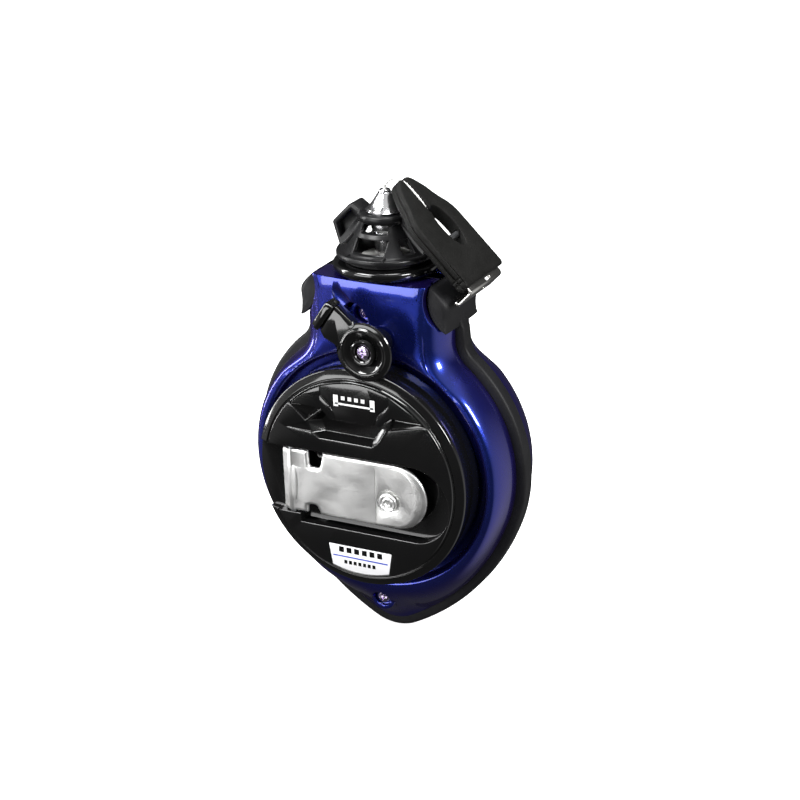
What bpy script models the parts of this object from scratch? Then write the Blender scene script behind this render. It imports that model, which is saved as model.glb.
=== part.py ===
"""A chalk line reel with a geared fold-out crank, a bayonet nozzle and an end hook.

Run it with: blender --background --python part.py

The reel stands on its pointed lower end, nozzle up. +X is the reel's right, -Y is its front, the crank
side, and +Z runs up the nozzle. The origin is the middle of the flat round face on the reel's back.
Lengths below are in metres, written as millimetres times MM. The depths named ..._Y are measured from
the reel's middle plane, which lies BACK_Y in front of the origin.
"""

import math

import bmesh
import bpy
from mathutils import Matrix, Vector

MM = 0.001
GAP = 0.3 * MM  # between pieces that seat on each other
FIT = 0.2 * MM  # between a shaft and its bore, on the radius

# Case outline, at the edge of the shells
BODY_RADIUS = 50.3 * MM
BELLY_RADIUS = 85.0 * MM  # of the long curves that run down to the tip
BELLY_START = math.radians(-20.0)
TIP_RADIUS = 14.0 * MM
NECK_HALF_WIDTH = 27.6 * MM
NECK_FILLET = 12.0 * MM
NECK_RISE = 19.7 * MM  # of the neck's top above the round body
NECK_TOP = BODY_RADIUS + NECK_RISE
WALL = 2.2 * MM

# Case depth
SEAM_Y = 3.3 * MM  # half the depth that the band takes between the shells
CREST_Y = 16.8 * MM  # of the ridge round the dial, on both shells
CREST_RADIUS = 45.5 * MM
NECK_FACE_Y = 15.2 * MM
NECK_BULGE = 1.8 * MM
NECK_FACE_HALF = 20.8 * MM
BACK_Y = 20.0 * MM
BACK_FACE_RADIUS = 33.0 * MM
WELL_RADIUS = 43.4 * MM  # of the sunk round floor that the dial turns in
WELL_Y = 13.6 * MM
SCOOP_RADIUS = 13.6 * MM
SCOOP_X = 34.7 * MM
SCOOP_Z = NECK_TOP - 5.4 * MM

# Band and its two catches
BAND_STAND = 3.4 * MM  # how far the band stands out of the shells
BAND_INNER = 3.0 * MM  # how far it reaches in between them
EAR_TIP_X = 32.6 * MM
EAR_HALF_DEPTH = 12.6 * MM
EAR_GAP = 0.4 * MM  # between a catch and its scoop
BAND_TOP = NECK_TOP - GAP

# Gear train
AXLE_RADIUS = 3.0 * MM
BUSH_WALL = 1.6 * MM
MODULE = 1.1 * MM
SUN_TEETH = 15
PLANET_TEETH = 15
RING_TEETH = SUN_TEETH + 2 * PLANET_TEETH
PRESSURE_ANGLE = math.radians(25.0)
BACKLASH = 0.16 * MM
PLANETS = 3
GEAR_FRONT_Y = -12.4 * MM
GEAR_BACK_Y = -8.2 * MM
RING_RADIUS = 29.5 * MM
RING_FLANGE_RADIUS = 33.0 * MM
SUN_BORE = 5.2 * MM
PLANET_PIN_RADIUS = 2.0 * MM
CARRIER_RADIUS = 26.0 * MM
CARRIER_BORE = AXLE_RADIUS + 0.6 * MM
CARRIER_FRONT_Y = -15.4 * MM
CARRIER_BACK_Y = -13.9 * MM
CARRIER_SCREW_INSET = 2.95 * MM  # from the tips of the ring's teeth
CARRIER_SCREW_ORBIT = MODULE * (RING_TEETH / 2.0 - 1.0) - CARRIER_SCREW_INSET
CARRIER_SCREW_TIP_Y = -19.7 * MM

# Spool
AXLE_FRONT_Y = -22.4 * MM
AXLE_BACK_Y = 17.0 * MM
SPOOL_BORE = AXLE_RADIUS + BUSH_WALL
SIDE_PLATE_BORE = 9.0 * MM
HUB_RADIUS = 11.0 * MM
FLANGE_RADIUS = 38.6 * MM
RATCHET_TEETH = 24
RATCHET_DEPTH = 1.9 * MM
SPOOL_FRONT_Y = -7.2 * MM
SPOOL_BACK_Y = 13.4 * MM
FLANGE_THICK = 1.6 * MM
WINDING_RADIUS = 27.0 * MM

# Crank dial
DIAL_RADIUS = 41.0 * MM
DIAL_RIM_Y = -26.3 * MM
DIAL_FACE_Y = -28.2 * MM
DIAL_FACE_RADIUS = 37.25 * MM
DIAL_BACK_Y = -14.4 * MM
DIAL_HOLLOW_Y = -20.5 * MM
DIAL_WALL = 2.4 * MM
DIAL_HUB_BORE = AXLE_RADIUS + BUSH_WALL
DIAL_HUB_BACK_Y = -15.7 * MM
POCKET_FLOOR_Y = -22.9 * MM
POCKET_TOP_Z = 8.6 * MM
POCKET_LOW_Z = -20.0 * MM
POCKET_END_X = 21.4 * MM
CHANNEL_LOW_Z = -16.8 * MM
CHANNEL_FLOOR_Y = -24.4 * MM
FINGER_TOP_Z = 20.9 * MM
FINGER_LOW_Z = 13.4 * MM
FINGER_FLOOR_Y = -24.0 * MM
EMBLEM_MARGIN = 0.8 * MM
EMBLEM_LOW_Z = 25.6 * MM
EMBLEM_DROP_Z = 21.8 * MM
EMBLEM_DROP_HALF = 10.0 * MM
EMBLEM_THICK = 0.7 * MM
LABEL_MARGIN = 0.9 * MM
LABEL_TOP_Z = -26.3 * MM
LABEL_HALF_WIDTH = 12.7 * MM
LABEL_THICK = 0.4 * MM

# Crank arm and knob
ARM_HINGE_X = -27.4 * MM
ARM_HINGE_Y = -26.6 * MM
ARM_LEFT_X = -30.4 * MM
ARM_TOP_Z = 8.0 * MM
ARM_LOW_Z = -16.2 * MM
ARM_END_X = 14.5 * MM
ARM_FACE_Y = -28.0 * MM
ARM_THICK = 1.8 * MM
KNUCKLE_RADIUS = 1.7 * MM
HINGE_PIN_RADIUS = 0.9 * MM
HINGE_PIN_LOW_Z = -19.8 * MM
HINGE_PIN_TOP_Z = 11.4 * MM
KNOB_X = 12.0 * MM
KNOB_Z = -6.2 * MM
KNOB_RADIUS = 8.6 * MM
KNOB_BACK_Y = -17.4 * MM
KNOB_WELL_Y = -16.8 * MM
RIVET_RADIUS = 2.2 * MM
RIVET_HEAD_RADIUS = 3.5 * MM

# Lock lever
LEVER_X = 5.5 * MM
LEVER_Z = 49.6 * MM
LEVER_FACE_Y = -31.0 * MM
LEVER_DISC_RADIUS = 10.6 * MM
LEVER_ANGLE = math.radians(145.0)
LEVER_REACH = 20.6 * MM
LEVER_SHAFT_RADIUS = 2.4 * MM
LEVER_STEM_RADIUS = 5.0 * MM
LEVER_STEM_BACK_Y = -17.6 * MM
LEVER_DISC_BACK_Y = -28.6 * MM
LEVER_BOSS_RADIUS = 8.6 * MM
LEVER_SLEEVE_RADIUS = 4.6 * MM
LEVER_SEAT_Y = -29.4 * MM
PAWL_FRONT_Y = -7.6 * MM
PAWL_BACK_Y = -5.2 * MM
PAWL_SWING = math.radians(50.0)

# Nozzle
NOZZLE_HOLE_RADIUS = 14.6 * MM
COLLAR_RADIUS = 19.0 * MM
COLLAR_TOP_Z = NECK_TOP + 4.0 * MM
NECK_REACH = 8.0 * MM  # of the collar down into the neck
GASKET_THICK = 1.2 * MM
CAGE_SKIRT_RADIUS = 11.2 * MM
CAGE_FLANGE_RADIUS = 17.8 * MM
CAGE_FLANGE_TOP_Z = COLLAR_TOP_Z + 4.0 * MM
CAGE_NECK_Z = CAGE_FLANGE_TOP_Z + 10.4 * MM
CAGE_TOP_Z = CAGE_NECK_Z + 2.6 * MM
CAGE_TOP_RADIUS = 9.0 * MM
CAGE_BORE_RADIUS = 5.4 * MM
CAGE_WALL = 1.8 * MM
CAGE_WINDOW_HALF = 5.9 * MM
CAGE_SIDE_WINDOW = math.radians(9.0)  # half the turn that a side window takes
WING_HALF_DEPTH = 4.2 * MM
WING_WEB_HALF = 0.7 * MM
TIP_BASE_RADIUS = 6.6 * MM
TIP_TOP_Z = CAGE_TOP_Z + 7.8 * MM
TIP_TOP_RADIUS = 1.5 * MM
LINE_RADIUS = 0.5 * MM
LINE_STEP = 2.8 * MM  # between the points of its curve

# End hook, which leans at 45 degrees from its apex above the nozzle
HOOK_APEX = Vector((7.2 * MM, 0.0, TIP_TOP_Z + 4.4 * MM))
HOOK_LEAN = math.radians(-44.6)
HOOK_LENGTH = 43.6 * MM
HOOK_THICK = 4.6 * MM
HOOK_HALF_WIDTH = 14.4 * MM
HOOK_WINDOW_S = 22.0 * MM
HOOK_WINDOW_Y = 2.5 * MM
HOOK_WINDOW_HALF_LENGTH = 8.7 * MM
HOOK_WINDOW_HALF_WIDTH = 4.3 * MM
SLIT_HALF_WIDTH = 0.9 * MM
HOOK_SLIT_DEPTH = 2.6 * MM
HOOK_TANG_S = 36.0 * MM
ANCHOR_S = 26.0 * MM
ANCHOR_RADIUS = 1.1 * MM
CLAW_HALF_WIDTH = 12.0 * MM
CLAW_THICK = 1.0 * MM
CLAW_BEND_S = 46.2 * MM
CLAW_REACH = 8.2 * MM
CLAW_LIP = 2.0 * MM
CLAW_DEPTH = 1.8 * MM

# Screws
SCREW_HEAD_RADIUS = 2.5 * MM
SCREW_SHANK_RADIUS = 1.3 * MM
BOSS_RADIUS = 3.0 * MM
HOUSING_BOSS_RADIUS = 4.6 * MM
HOUSING_SINK_RADIUS = 3.3 * MM
REAR_BOSS_RADIUS = 2.9 * MM
UPPER_SEAT_Y = -10.0 * MM
LOWER_SEAT_Y = -10.9 * MM
UPPER_BOSS_DEPTH = 14.8 * MM
LOWER_BOSS_DEPTH = 11.3 * MM
UPPER_SCREW = (-3.7 * MM, 56.6 * MM)
LOWER_SCREW = (0.0 * MM, -53.0 * MM)

SCREW_SEATS = (
    (UPPER_SCREW, UPPER_SEAT_Y, UPPER_BOSS_DEPTH),
    (LOWER_SCREW, LOWER_SEAT_Y, LOWER_BOSS_DEPTH),
)

# The exact solver leaves slivers in these after several cuts in a row
CHAINED_CUTS = ("front_shell", "rear_shell")

# Turned pieces are cut into this many flats
SMALL = 12
COARSE = 16
MEDIUM = 24
CAGE_STEPS = 30
FINE = 36


def clear_scene():
    for old in list(bpy.data.objects):
        bpy.data.objects.remove(old, do_unlink=True)


def material(name, colour, roughness, metallic=0.0):
    made = bpy.data.materials.new(name)
    made.use_nodes = True
    shader = made.node_tree.nodes["Principled BSDF"]
    shader.inputs["Base Color"].default_value = (*colour, 1.0)
    shader.inputs["Roughness"].default_value = roughness
    shader.inputs["Metallic"].default_value = metallic
    made.diffuse_color = (*colour, 1.0)
    return made


def finish_object(name, mesh, look, parent, pivot=(0.0, 0.0, 0.0)):
    """Links a mesh as an object under its parent empty, with its origin on the pivot."""
    pivot = Vector(pivot)
    mesh.transform(Matrix.Translation(-pivot))
    mesh.shade_smooth()
    mesh.set_sharp_from_angle(angle=math.radians(32.0))
    obj = bpy.data.objects.new(name, mesh)
    bpy.context.scene.collection.objects.link(obj)
    obj.parent = parent
    obj.location = pivot
    mesh.materials.append(look)
    return obj


def mesh_of(bm, name):
    bmesh.ops.remove_doubles(bm, verts=bm.verts, dist=1e-6)
    bmesh.ops.recalc_face_normals(bm, faces=bm.faces)
    mesh = bpy.data.meshes.new(name)
    bm.to_mesh(mesh)
    bm.free()
    return mesh


def turned_mesh(profile, steps, axis="Y", centre=(0.0, 0.0, 0.0)):
    """Spins a closed profile of (radius, place along the axis) round an axis through the centre."""
    bm = bmesh.new()
    along = Vector((0.0, 1.0, 0.0)) if axis == "Y" else Vector((0.0, 0.0, 1.0))
    out = Vector((1.0, 0.0, 0.0))
    start = [bm.verts.new(out * r + along * h) for r, h in profile]
    edges = [bm.edges.new((a, b)) for a, b in zip(start, start[1:] + start[:1])]
    bmesh.ops.spin(
        bm,
        geom=start + edges,
        cent=(0.0, 0.0, 0.0),
        axis=along,
        angle=2.0 * math.pi,
        steps=steps,
        use_merge=True,
    )
    bmesh.ops.remove_doubles(bm, verts=bm.verts, dist=1e-6)
    on_axis = [e for e in bm.edges if all(v.co.cross(along).length < 1e-7 for v in e.verts)]
    bmesh.ops.delete(bm, geom=on_axis, context="EDGES_FACES")
    bmesh.ops.translate(bm, verts=bm.verts, vec=Vector(centre))
    return mesh_of(bm, "turned")


def rod_mesh(radius, start, end, steps, axis="Y", centre=(0.0, 0.0, 0.0)):
    low, high = sorted((start, end))
    return turned_mesh([(0.0, low), (radius, low), (radius, high), (0.0, high)], steps, axis, centre)


def tube_mesh(inner, outer, start, end, steps, axis="Y", centre=(0.0, 0.0, 0.0)):
    low, high = sorted((start, end))
    return turned_mesh([(inner, low), (outer, low), (outer, high), (inner, high)], steps, axis, centre)


def prism_mesh(outline, start, end):
    """Extrudes an outline of (x, z) points along Y."""
    bm = bmesh.new()
    face = bm.faces.new([bm.verts.new((x, start, z)) for x, z in outline])
    grown = bmesh.ops.extrude_face_region(bm, geom=[face])["geom"]
    moved = [item for item in grown if isinstance(item, bmesh.types.BMVert)]
    bmesh.ops.translate(bm, verts=moved, vec=Vector((0.0, end - start, 0.0)))
    return mesh_of(bm, "prism")


def box_mesh(low, high):
    outline = [(low[0], low[2]), (high[0], low[2]), (high[0], high[2]), (low[0], high[2])]
    return prism_mesh(outline, low[1], high[1])


def ring_skin_mesh(rings, closed):
    """Skins rings of equal length. A closed one joins the last ring to the first, an open one is capped."""
    bm = bmesh.new()
    rows = [[bm.verts.new(point) for point in ring] for ring in rings]
    pairs = list(zip(rows, rows[1:]))
    if closed:
        pairs.append((rows[-1], rows[0]))
    for first, second in pairs:
        count = len(first)
        for i in range(count):
            j = (i + 1) % count
            bm.faces.new((first[i], first[j], second[j], second[i]))
    if not closed:
        bm.faces.new(rows[0])
        bm.faces.new(rows[-1])
    return mesh_of(bm, "skin")


def helper(mesh, parent):
    """An object that only shapes another one through a Boolean."""
    obj = bpy.data.objects.new("shaper", mesh)
    bpy.context.scene.collection.objects.link(obj)
    obj.parent = parent
    obj.hide_render = True
    obj.display_type = "WIRE"
    return obj


def shape(target, mesh, operation="DIFFERENCE"):
    """Cuts a mesh from an object, or joins it on. The mesh is in the same place as the object's own."""
    tool = helper(mesh, target.parent)
    change = target.modifiers.new(operation.title(), "BOOLEAN")
    change.operation = operation
    change.object = tool
    change.solver = "MANIFOLD" if target.name in CHAINED_CUTS else "EXACT"
    return tool


def soften(obj, width, angle=40.0):
    edge = obj.modifiers.new("Soft edges", "BEVEL")
    edge.width = width
    edge.segments = 1
    edge.limit_method = "ANGLE"
    edge.angle_limit = math.radians(angle)


def arc(centre, radius, start, end, count):
    """Points along an arc, angles in radians, both ends included."""
    steps = [start + (end - start) * i / (count - 1) for i in range(count)]
    return [(centre[0] + radius * math.cos(a), centre[1] + radius * math.sin(a)) for a in steps]


def half_case_outline(offset):
    """The right half of the case outline, from the tip up to the neck's top corner, grown by an offset."""
    body = BODY_RADIUS + offset
    belly = BELLY_RADIUS + offset
    tip = TIP_RADIUS + offset
    swing = BELLY_RADIUS - BODY_RADIUS
    belly_centre = (-swing * math.cos(BELLY_START), -swing * math.sin(BELLY_START))
    # The tip's round end touches both long curves from inside, on the centre line.
    reach = BELLY_RADIUS - TIP_RADIUS
    tip_z = belly_centre[1] - math.sqrt(reach**2 - belly_centre[0] ** 2)
    tip_angle = math.atan2(tip_z - belly_centre[1], -belly_centre[0])
    side = NECK_HALF_WIDTH + offset
    fillet = NECK_FILLET - offset
    fillet_x = side + fillet
    fillet_angle = math.acos(fillet_x / (body + fillet))
    fillet_z = (body + fillet) * math.sin(fillet_angle)
    points = arc((0.0, tip_z), tip, -math.pi / 2, tip_angle, 3)[:-1]
    points += arc(belly_centre, belly, tip_angle, BELLY_START, 7)[:-1]
    points += arc((0.0, 0.0), body, BELLY_START, fillet_angle, 11)[:-1]
    points += arc((fillet_x, fillet_z), fillet, fillet_angle + math.pi, math.pi, 4)
    return points


def case_outline(offset):
    """The whole closed outline of (x, z) points, with a flat top to the neck."""
    half = half_case_outline(offset)
    side = NECK_HALF_WIDTH + offset
    top = NECK_TOP + offset
    half.append((side, top))
    across = [(side * (1.0 - i / 4.0), top) for i in range(1, 5)]
    right = half + across
    left = [(-x, z) for x, z in reversed(right[1:-1])]
    return right + left


def on_circle(point, radius):
    """The place on a circle that a point of the case outline is drawn towards."""
    turn = math.atan2(point[0], point[1])
    return (radius * math.sin(turn), radius * math.cos(turn))


def circle_ring(outline, radius, depth):
    flat = [on_circle(point, radius) for point in outline]
    return [(x, depth, z) for x, z in flat]


def case_rings(offset, crest_radius, crest_y, face_radius, face_y):
    """Rings of a case half, from the seam over the ridge to the round face's edge. Depths are positive."""
    base = case_outline(offset)
    rings = [[(x, SEAM_Y, z) for x, z in base]]
    crest = []
    for x, z in base:
        if z > BODY_RADIUS * 0.78:
            half = NECK_FACE_HALF + offset
            face_x = max(-half, min(half, x * half / (NECK_HALF_WIDTH + offset)))
            bulge = NECK_BULGE * (1.0 - (face_x / half) ** 2)
            crest.append((face_x, NECK_FACE_Y + offset + bulge, z))
        else:
            near_x, near_z = on_circle((x, z), crest_radius)
            crest.append((near_x, crest_y, near_z))
    for step in (30, 60):
        turn = math.radians(step)
        ring = []
        for (x, z), (cx, cy, cz) in zip(base, crest):
            # The long lower nose is flatter than the round flanks.
            nose = min(1.0, max(0.0, (math.hypot(x, z) - BODY_RADIUS - offset) / (12.0 * MM)))
            power = (2.0 - 0.8 * nose) / 2.0 if z < 0.0 else 1.0
            inward = (1.0 - math.cos(turn)) ** power
            rise = math.sin(turn) ** (1.0 / power)
            ring.append((x + (cx - x) * inward, SEAM_Y + (cy - SEAM_Y) * rise, z + (cz - z) * inward))
        rings.append(ring)
    rings.append(crest)
    rings.append(circle_ring(base, face_radius, face_y))
    return rings


def mirrored(rings, side):
    return [[(x, y * side, z) for x, y, z in ring] for ring in rings]


def front_shell(looks, reel):
    outline = case_outline(0.0)
    hole = RING_RADIUS + GAP
    rings = case_rings(0.0, CREST_RADIUS, CREST_Y, WELL_RADIUS + 0.8 * MM, CREST_Y - 0.6 * MM)
    rings.append(circle_ring(outline, WELL_RADIUS, WELL_Y))
    rings.append(circle_ring(outline, hole, WELL_Y))
    rings.append(circle_ring(outline, hole, WELL_Y - WALL))
    ridge_radius = WELL_RADIUS + WALL + 0.3 * MM
    floor_y = WELL_Y - WALL
    inner = case_rings(-WALL, ridge_radius, floor_y + 0.4 * MM, WELL_RADIUS - WALL, floor_y)
    mesh = ring_skin_mesh(mirrored(rings + inner[::-1], -1.0), closed=True)
    shell = finish_object("front_shell", mesh, looks["blue"], reel)
    shape(shell, rod_mesh(NOZZLE_HOLE_RADIUS, NECK_TOP - 10.0 * MM, NECK_TOP + 10.0 * MM, FINE, "Z"))
    for side in (-1.0, 1.0):
        scoop = rod_mesh(SCOOP_RADIUS, -30.0 * MM, 30.0 * MM, MEDIUM, "Y", (side * SCOOP_X, 0.0, SCOOP_Z))
        shape(shell, scoop)
    # Each screw sits at the bottom of a round sink.
    for (x, z), seat, depth in SCREW_SEATS:
        boss = rod_mesh(HOUSING_BOSS_RADIUS, -SEAM_Y + GAP, -depth, COARSE, "Y", (x, 0.0, z))
        shape(shell, boss, "UNION")
        shape(shell, rod_mesh(HOUSING_SINK_RADIUS, -30.0 * MM, seat, COARSE, "Y", (x, 0.0, z)))
        shape(shell, rod_mesh(SCREW_SHANK_RADIUS + FIT, -30.0 * MM, 0.0, COARSE, "Y", (x, 0.0, z)))
    lever_place = (LEVER_X, 0.0, LEVER_Z)
    shape(shell, rod_mesh(LEVER_SHAFT_RADIUS + FIT, -30.0 * MM, 0.0, COARSE, "Y", lever_place))
    return shell


def rear_shell(looks, reel):
    outer = case_rings(0.0, CREST_RADIUS, CREST_Y, BACK_FACE_RADIUS, BACK_Y)
    inner = case_rings(-WALL, CREST_RADIUS - WALL, CREST_Y - WALL, BACK_FACE_RADIUS, BACK_Y - WALL)
    mesh = ring_skin_mesh(inner[::-1] + outer, closed=False)
    shell = finish_object("rear_shell", mesh, looks["blue"], reel)
    shape(shell, rod_mesh(NOZZLE_HOLE_RADIUS, NECK_TOP - 10.0 * MM, NECK_TOP + 10.0 * MM, FINE, "Z"))
    for side in (-1.0, 1.0):
        scoop = rod_mesh(SCOOP_RADIUS, -30.0 * MM, 30.0 * MM, MEDIUM, "Y", (side * SCOOP_X, 0.0, SCOOP_Z))
        shape(shell, scoop)
    for (x, z), _, depth in SCREW_SEATS:
        boss = rod_mesh(REAR_BOSS_RADIUS, -SEAM_Y + 2.0 * GAP, depth + 1.0 * MM, COARSE, "Y", (x, 0.0, z))
        shape(shell, boss, "UNION")
        shape(shell, rod_mesh(SCREW_SHANK_RADIUS + FIT, -9.0 * MM, 9.0 * MM, COARSE, "Y", (x, 0.0, z)))
    boss = rod_mesh(AXLE_RADIUS + 2.6 * MM, SPOOL_BACK_Y + GAP, BACK_Y - 1.0 * MM, MEDIUM)
    shape(shell, boss, "UNION")
    shape(shell, rod_mesh(AXLE_RADIUS + FIT, 0.0, BACK_Y - 2.6 * MM, MEDIUM))
    return shell


def side_band(looks, reel):
    outer = half_case_outline(BAND_STAND)
    side = NECK_HALF_WIDTH + BAND_STAND
    outer += [(side, SCOOP_Z - 8.6 * MM), (EAR_TIP_X, SCOOP_Z - 2.8 * MM)]
    outer += [(EAR_TIP_X - 1.4 * MM, SCOOP_Z - 0.2 * MM), (27.0 * MM, SCOOP_Z + 3.2 * MM), (22.4 * MM, BAND_TOP)]
    inner = half_case_outline(-BAND_INNER)
    inner += [(NECK_HALF_WIDTH - BAND_INNER, SCOOP_Z - 12.6 * MM)]
    inner += [(20.4 * MM, SCOOP_Z - 4.6 * MM), (20.4 * MM, BAND_TOP)]
    left_outer = [(-x, z) for x, z in outer[1:]]
    left_inner = [(-x, z) for x, z in inner[1:]]
    loop = outer[::-1] + left_outer + left_inner[::-1] + inner
    mesh = prism_mesh(loop, -SEAM_Y + GAP, SEAM_Y - GAP)
    band = finish_object("side_band", mesh, looks["rubber"], reel)
    soften(band, 0.9 * MM, angle=50.0)
    for hand in (-1.0, 1.0):
        shape(band, ring_skin_mesh(catch_rings(hand), closed=False), "UNION")
    return band


def catch_rings(hand):
    """A catch fills its scoop: round where it lies in the scoop, with a nose that the claw drops behind."""
    radius = SCOOP_RADIUS - EAR_GAP
    seat = arc((SCOOP_X, SCOOP_Z), radius, math.radians(157.0), math.radians(252.0), 9)
    rise = ((-0.4, -9.6), (-0.2, -5.6), (0.0, -2.6), (-0.6, -0.9), (-2.4, 1.0), (-5.4, 3.2), (-8.6, 4.6))
    low_x = SCOOP_X - radius
    rings = []
    for depth, stretch in ((-1.0, 0.72), (-0.84, 0.9), (-0.5, 1.0), (0.5, 1.0), (0.84, 0.9), (1.0, 0.72)):
        ring = [(hand * x, depth * EAR_HALF_DEPTH, z) for x, z in seat]
        for x, z in rise:
            out = low_x + (EAR_TIP_X + x * MM - low_x) * stretch
            ring.append((hand * out, depth * EAR_HALF_DEPTH, SCOOP_Z + z * MM))
        rings.append(ring)
    return rings


def involute_tooth(base_radius, tip, root, half_angle):
    """One tooth flank as (radius, angle from the tooth's middle), root to tip."""
    start = max(root, base_radius)
    spread = math.tan(PRESSURE_ANGLE) - PRESSURE_ANGLE
    flank = []
    if root < base_radius:
        flank.append((root, half_angle + spread))
    for radius in (start, tip):
        turn = math.acos(min(1.0, base_radius / radius))
        flank.append((radius, half_angle + spread - (math.tan(turn) - turn)))
    return flank


def gear_outline(teeth, tip, root, thin, phase):
    """An outline whose teeth are the solid part of an outer gear, or the spaces of an inner one."""
    pitch_radius = MODULE * teeth / 2.0
    base_radius = pitch_radius * math.cos(PRESSURE_ANGLE)
    half_angle = math.pi / (2.0 * teeth) - thin / (2.0 * pitch_radius)
    flank = involute_tooth(base_radius, tip, root, half_angle)
    outline = []
    for tooth in range(teeth):
        middle = phase + 2.0 * math.pi * tooth / teeth
        rising = [(r, middle - a) for r, a in flank]
        falling = [(r, middle + a) for r, a in reversed(flank)]
        outline += [(r * math.cos(a), r * math.sin(a)) for r, a in rising + falling]
    return outline


def outer_gear_mesh(teeth, phase, centre):
    pitch_radius = MODULE * teeth / 2.0
    outline = gear_outline(teeth, pitch_radius + 0.9 * MODULE, pitch_radius - 1.15 * MODULE, BACKLASH, phase)
    moved = [(x + centre[0], z + centre[1]) for x, z in outline]
    return prism_mesh(moved, GEAR_FRONT_Y, GEAR_BACK_Y)


def ring_gear(looks, reel):
    """A flanged ring round a toothed hole. The hole's outline is a gear whose teeth are the spaces."""
    pitch_radius = MODULE * RING_TEETH / 2.0
    shoulder = -WELL_Y + WALL + GAP
    bore = pitch_radius - 3.0 * MODULE
    profile = [
        (bore, -WELL_Y),
        (RING_RADIUS, -WELL_Y),
        (RING_RADIUS, shoulder),
        (RING_FLANGE_RADIUS, shoulder),
        (RING_FLANGE_RADIUS, GEAR_BACK_Y),
        (bore, GEAR_BACK_Y),
    ]
    gear = finish_object("ring_gear", turned_mesh(profile, FINE), looks["resin"], reel)
    tip = pitch_radius + 1.15 * MODULE
    root = pitch_radius - 0.9 * MODULE
    hole = gear_outline(RING_TEETH, tip, root, -BACKLASH, 0.0)
    shape(gear, prism_mesh(hole, -30.0 * MM, 0.0))
    return gear


def sun_gear(looks, reel):
    mesh = outer_gear_mesh(SUN_TEETH, 0.0, (0.0, 0.0))
    gear = finish_object("sun_gear", mesh, looks["resin"], reel)
    shape(gear, rod_mesh(SUN_BORE, -30.0 * MM, 0.0, COARSE))
    return gear


def planet_places():
    """Each planet's (x, z) centre and the angle that it is turned to, to mesh with the sun and the ring."""
    orbit = MODULE * (SUN_TEETH + PLANET_TEETH) / 2.0
    places = []
    for i in range(PLANETS):
        turn = math.pi / 2.0 + 2.0 * math.pi * i / PLANETS
        # The sun's tooth phase where the planet meets it, and the planet's that fits it.
        sun_phase = turn * SUN_TEETH / (2.0 * math.pi)
        planet_phase = (turn + math.pi) - (0.5 - sun_phase) * 2.0 * math.pi / PLANET_TEETH
        places.append((orbit * math.cos(turn), orbit * math.sin(turn), planet_phase))
    return places


def planet_gears(looks, reel):
    for i, (x, z, phase) in enumerate(planet_places()):
        mesh = outer_gear_mesh(PLANET_TEETH, phase, (x, z))
        gear = finish_object(f"planet_gear_{i + 1}", mesh, looks["resin"], reel, (x, 0.0, z))
        shape(gear, rod_mesh(PLANET_PIN_RADIUS + FIT, -30.0 * MM, 0.0, COARSE, "Y", (x, 0.0, z)))
        pin = rod_mesh(PLANET_PIN_RADIUS, CARRIER_FRONT_Y, GEAR_BACK_Y + 0.4 * MM, COARSE, "Y", (x, 0.0, z))
        finish_object(f"planet_pin_{i + 1}", pin, looks["steel"], reel, (x, 0.0, z))


def carrier_plate(looks, reel):
    mesh = tube_mesh(CARRIER_BORE, CARRIER_RADIUS, CARRIER_FRONT_Y, CARRIER_BACK_Y, FINE)
    plate = finish_object("carrier_plate", mesh, looks["resin"], reel)
    for x, z, _ in planet_places():
        shape(plate, rod_mesh(PLANET_PIN_RADIUS + FIT, -30.0 * MM, 0.0, COARSE, "Y", (x, 0.0, z)))
    for i, (x, z) in enumerate(carrier_screw_places()):
        shape(plate, rod_mesh(SCREW_SHANK_RADIUS + FIT, -30.0 * MM, 0.0, COARSE, "Y", (x, 0.0, z)))
        screw(f"carrier_screw_{i + 1}", looks, reel, (x, z), CARRIER_BACK_Y + GAP, CARRIER_SCREW_TIP_Y)
    return plate


def carrier_screw_places():
    turns = [math.pi / 6.0 + 2.0 * math.pi * i / PLANETS for i in range(PLANETS)]
    return [(CARRIER_SCREW_ORBIT * math.cos(a), CARRIER_SCREW_ORBIT * math.sin(a)) for a in turns]


def screw(name, looks, reel, place, seat, tip):
    """A pan-head screw along Y. Its head stands on the seat, on the side away from the tip."""
    side = 1.0 if seat > tip else -1.0
    head = [
        (0.0, seat),
        (SCREW_HEAD_RADIUS, seat),
        (SCREW_HEAD_RADIUS, seat + side * 0.7 * MM),
        (SCREW_HEAD_RADIUS * 0.6, seat + side * 1.2 * MM),
        (0.0, seat + side * 1.2 * MM),
    ]
    centre = (place[0], 0.0, place[1])
    obj = finish_object(name, turned_mesh(head, SMALL, "Y", centre), looks["screw"], reel, centre)
    shank = rod_mesh(SCREW_SHANK_RADIUS, seat + side * 0.3 * MM, tip, SMALL)
    tool = shape(obj, shank, "UNION")
    tool.location = centre
    cross = cross_mesh(seat + side * 0.55 * MM, seat + side * 3.0 * MM)
    tool = shape(obj, cross)
    tool.location = centre
    return obj


def cross_mesh(start, end):
    """The cutter of a cross recess."""
    arm = SCREW_HEAD_RADIUS * 0.6
    half = SCREW_HEAD_RADIUS * 0.14
    outline = [
        (half, half), (half, arm), (-half, arm), (-half, half), (-arm, half), (-arm, -half),
        (-half, -half), (-half, -arm), (half, -arm), (half, -half), (arm, -half), (arm, half),
    ]
    return prism_mesh(outline, start, end)


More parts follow.
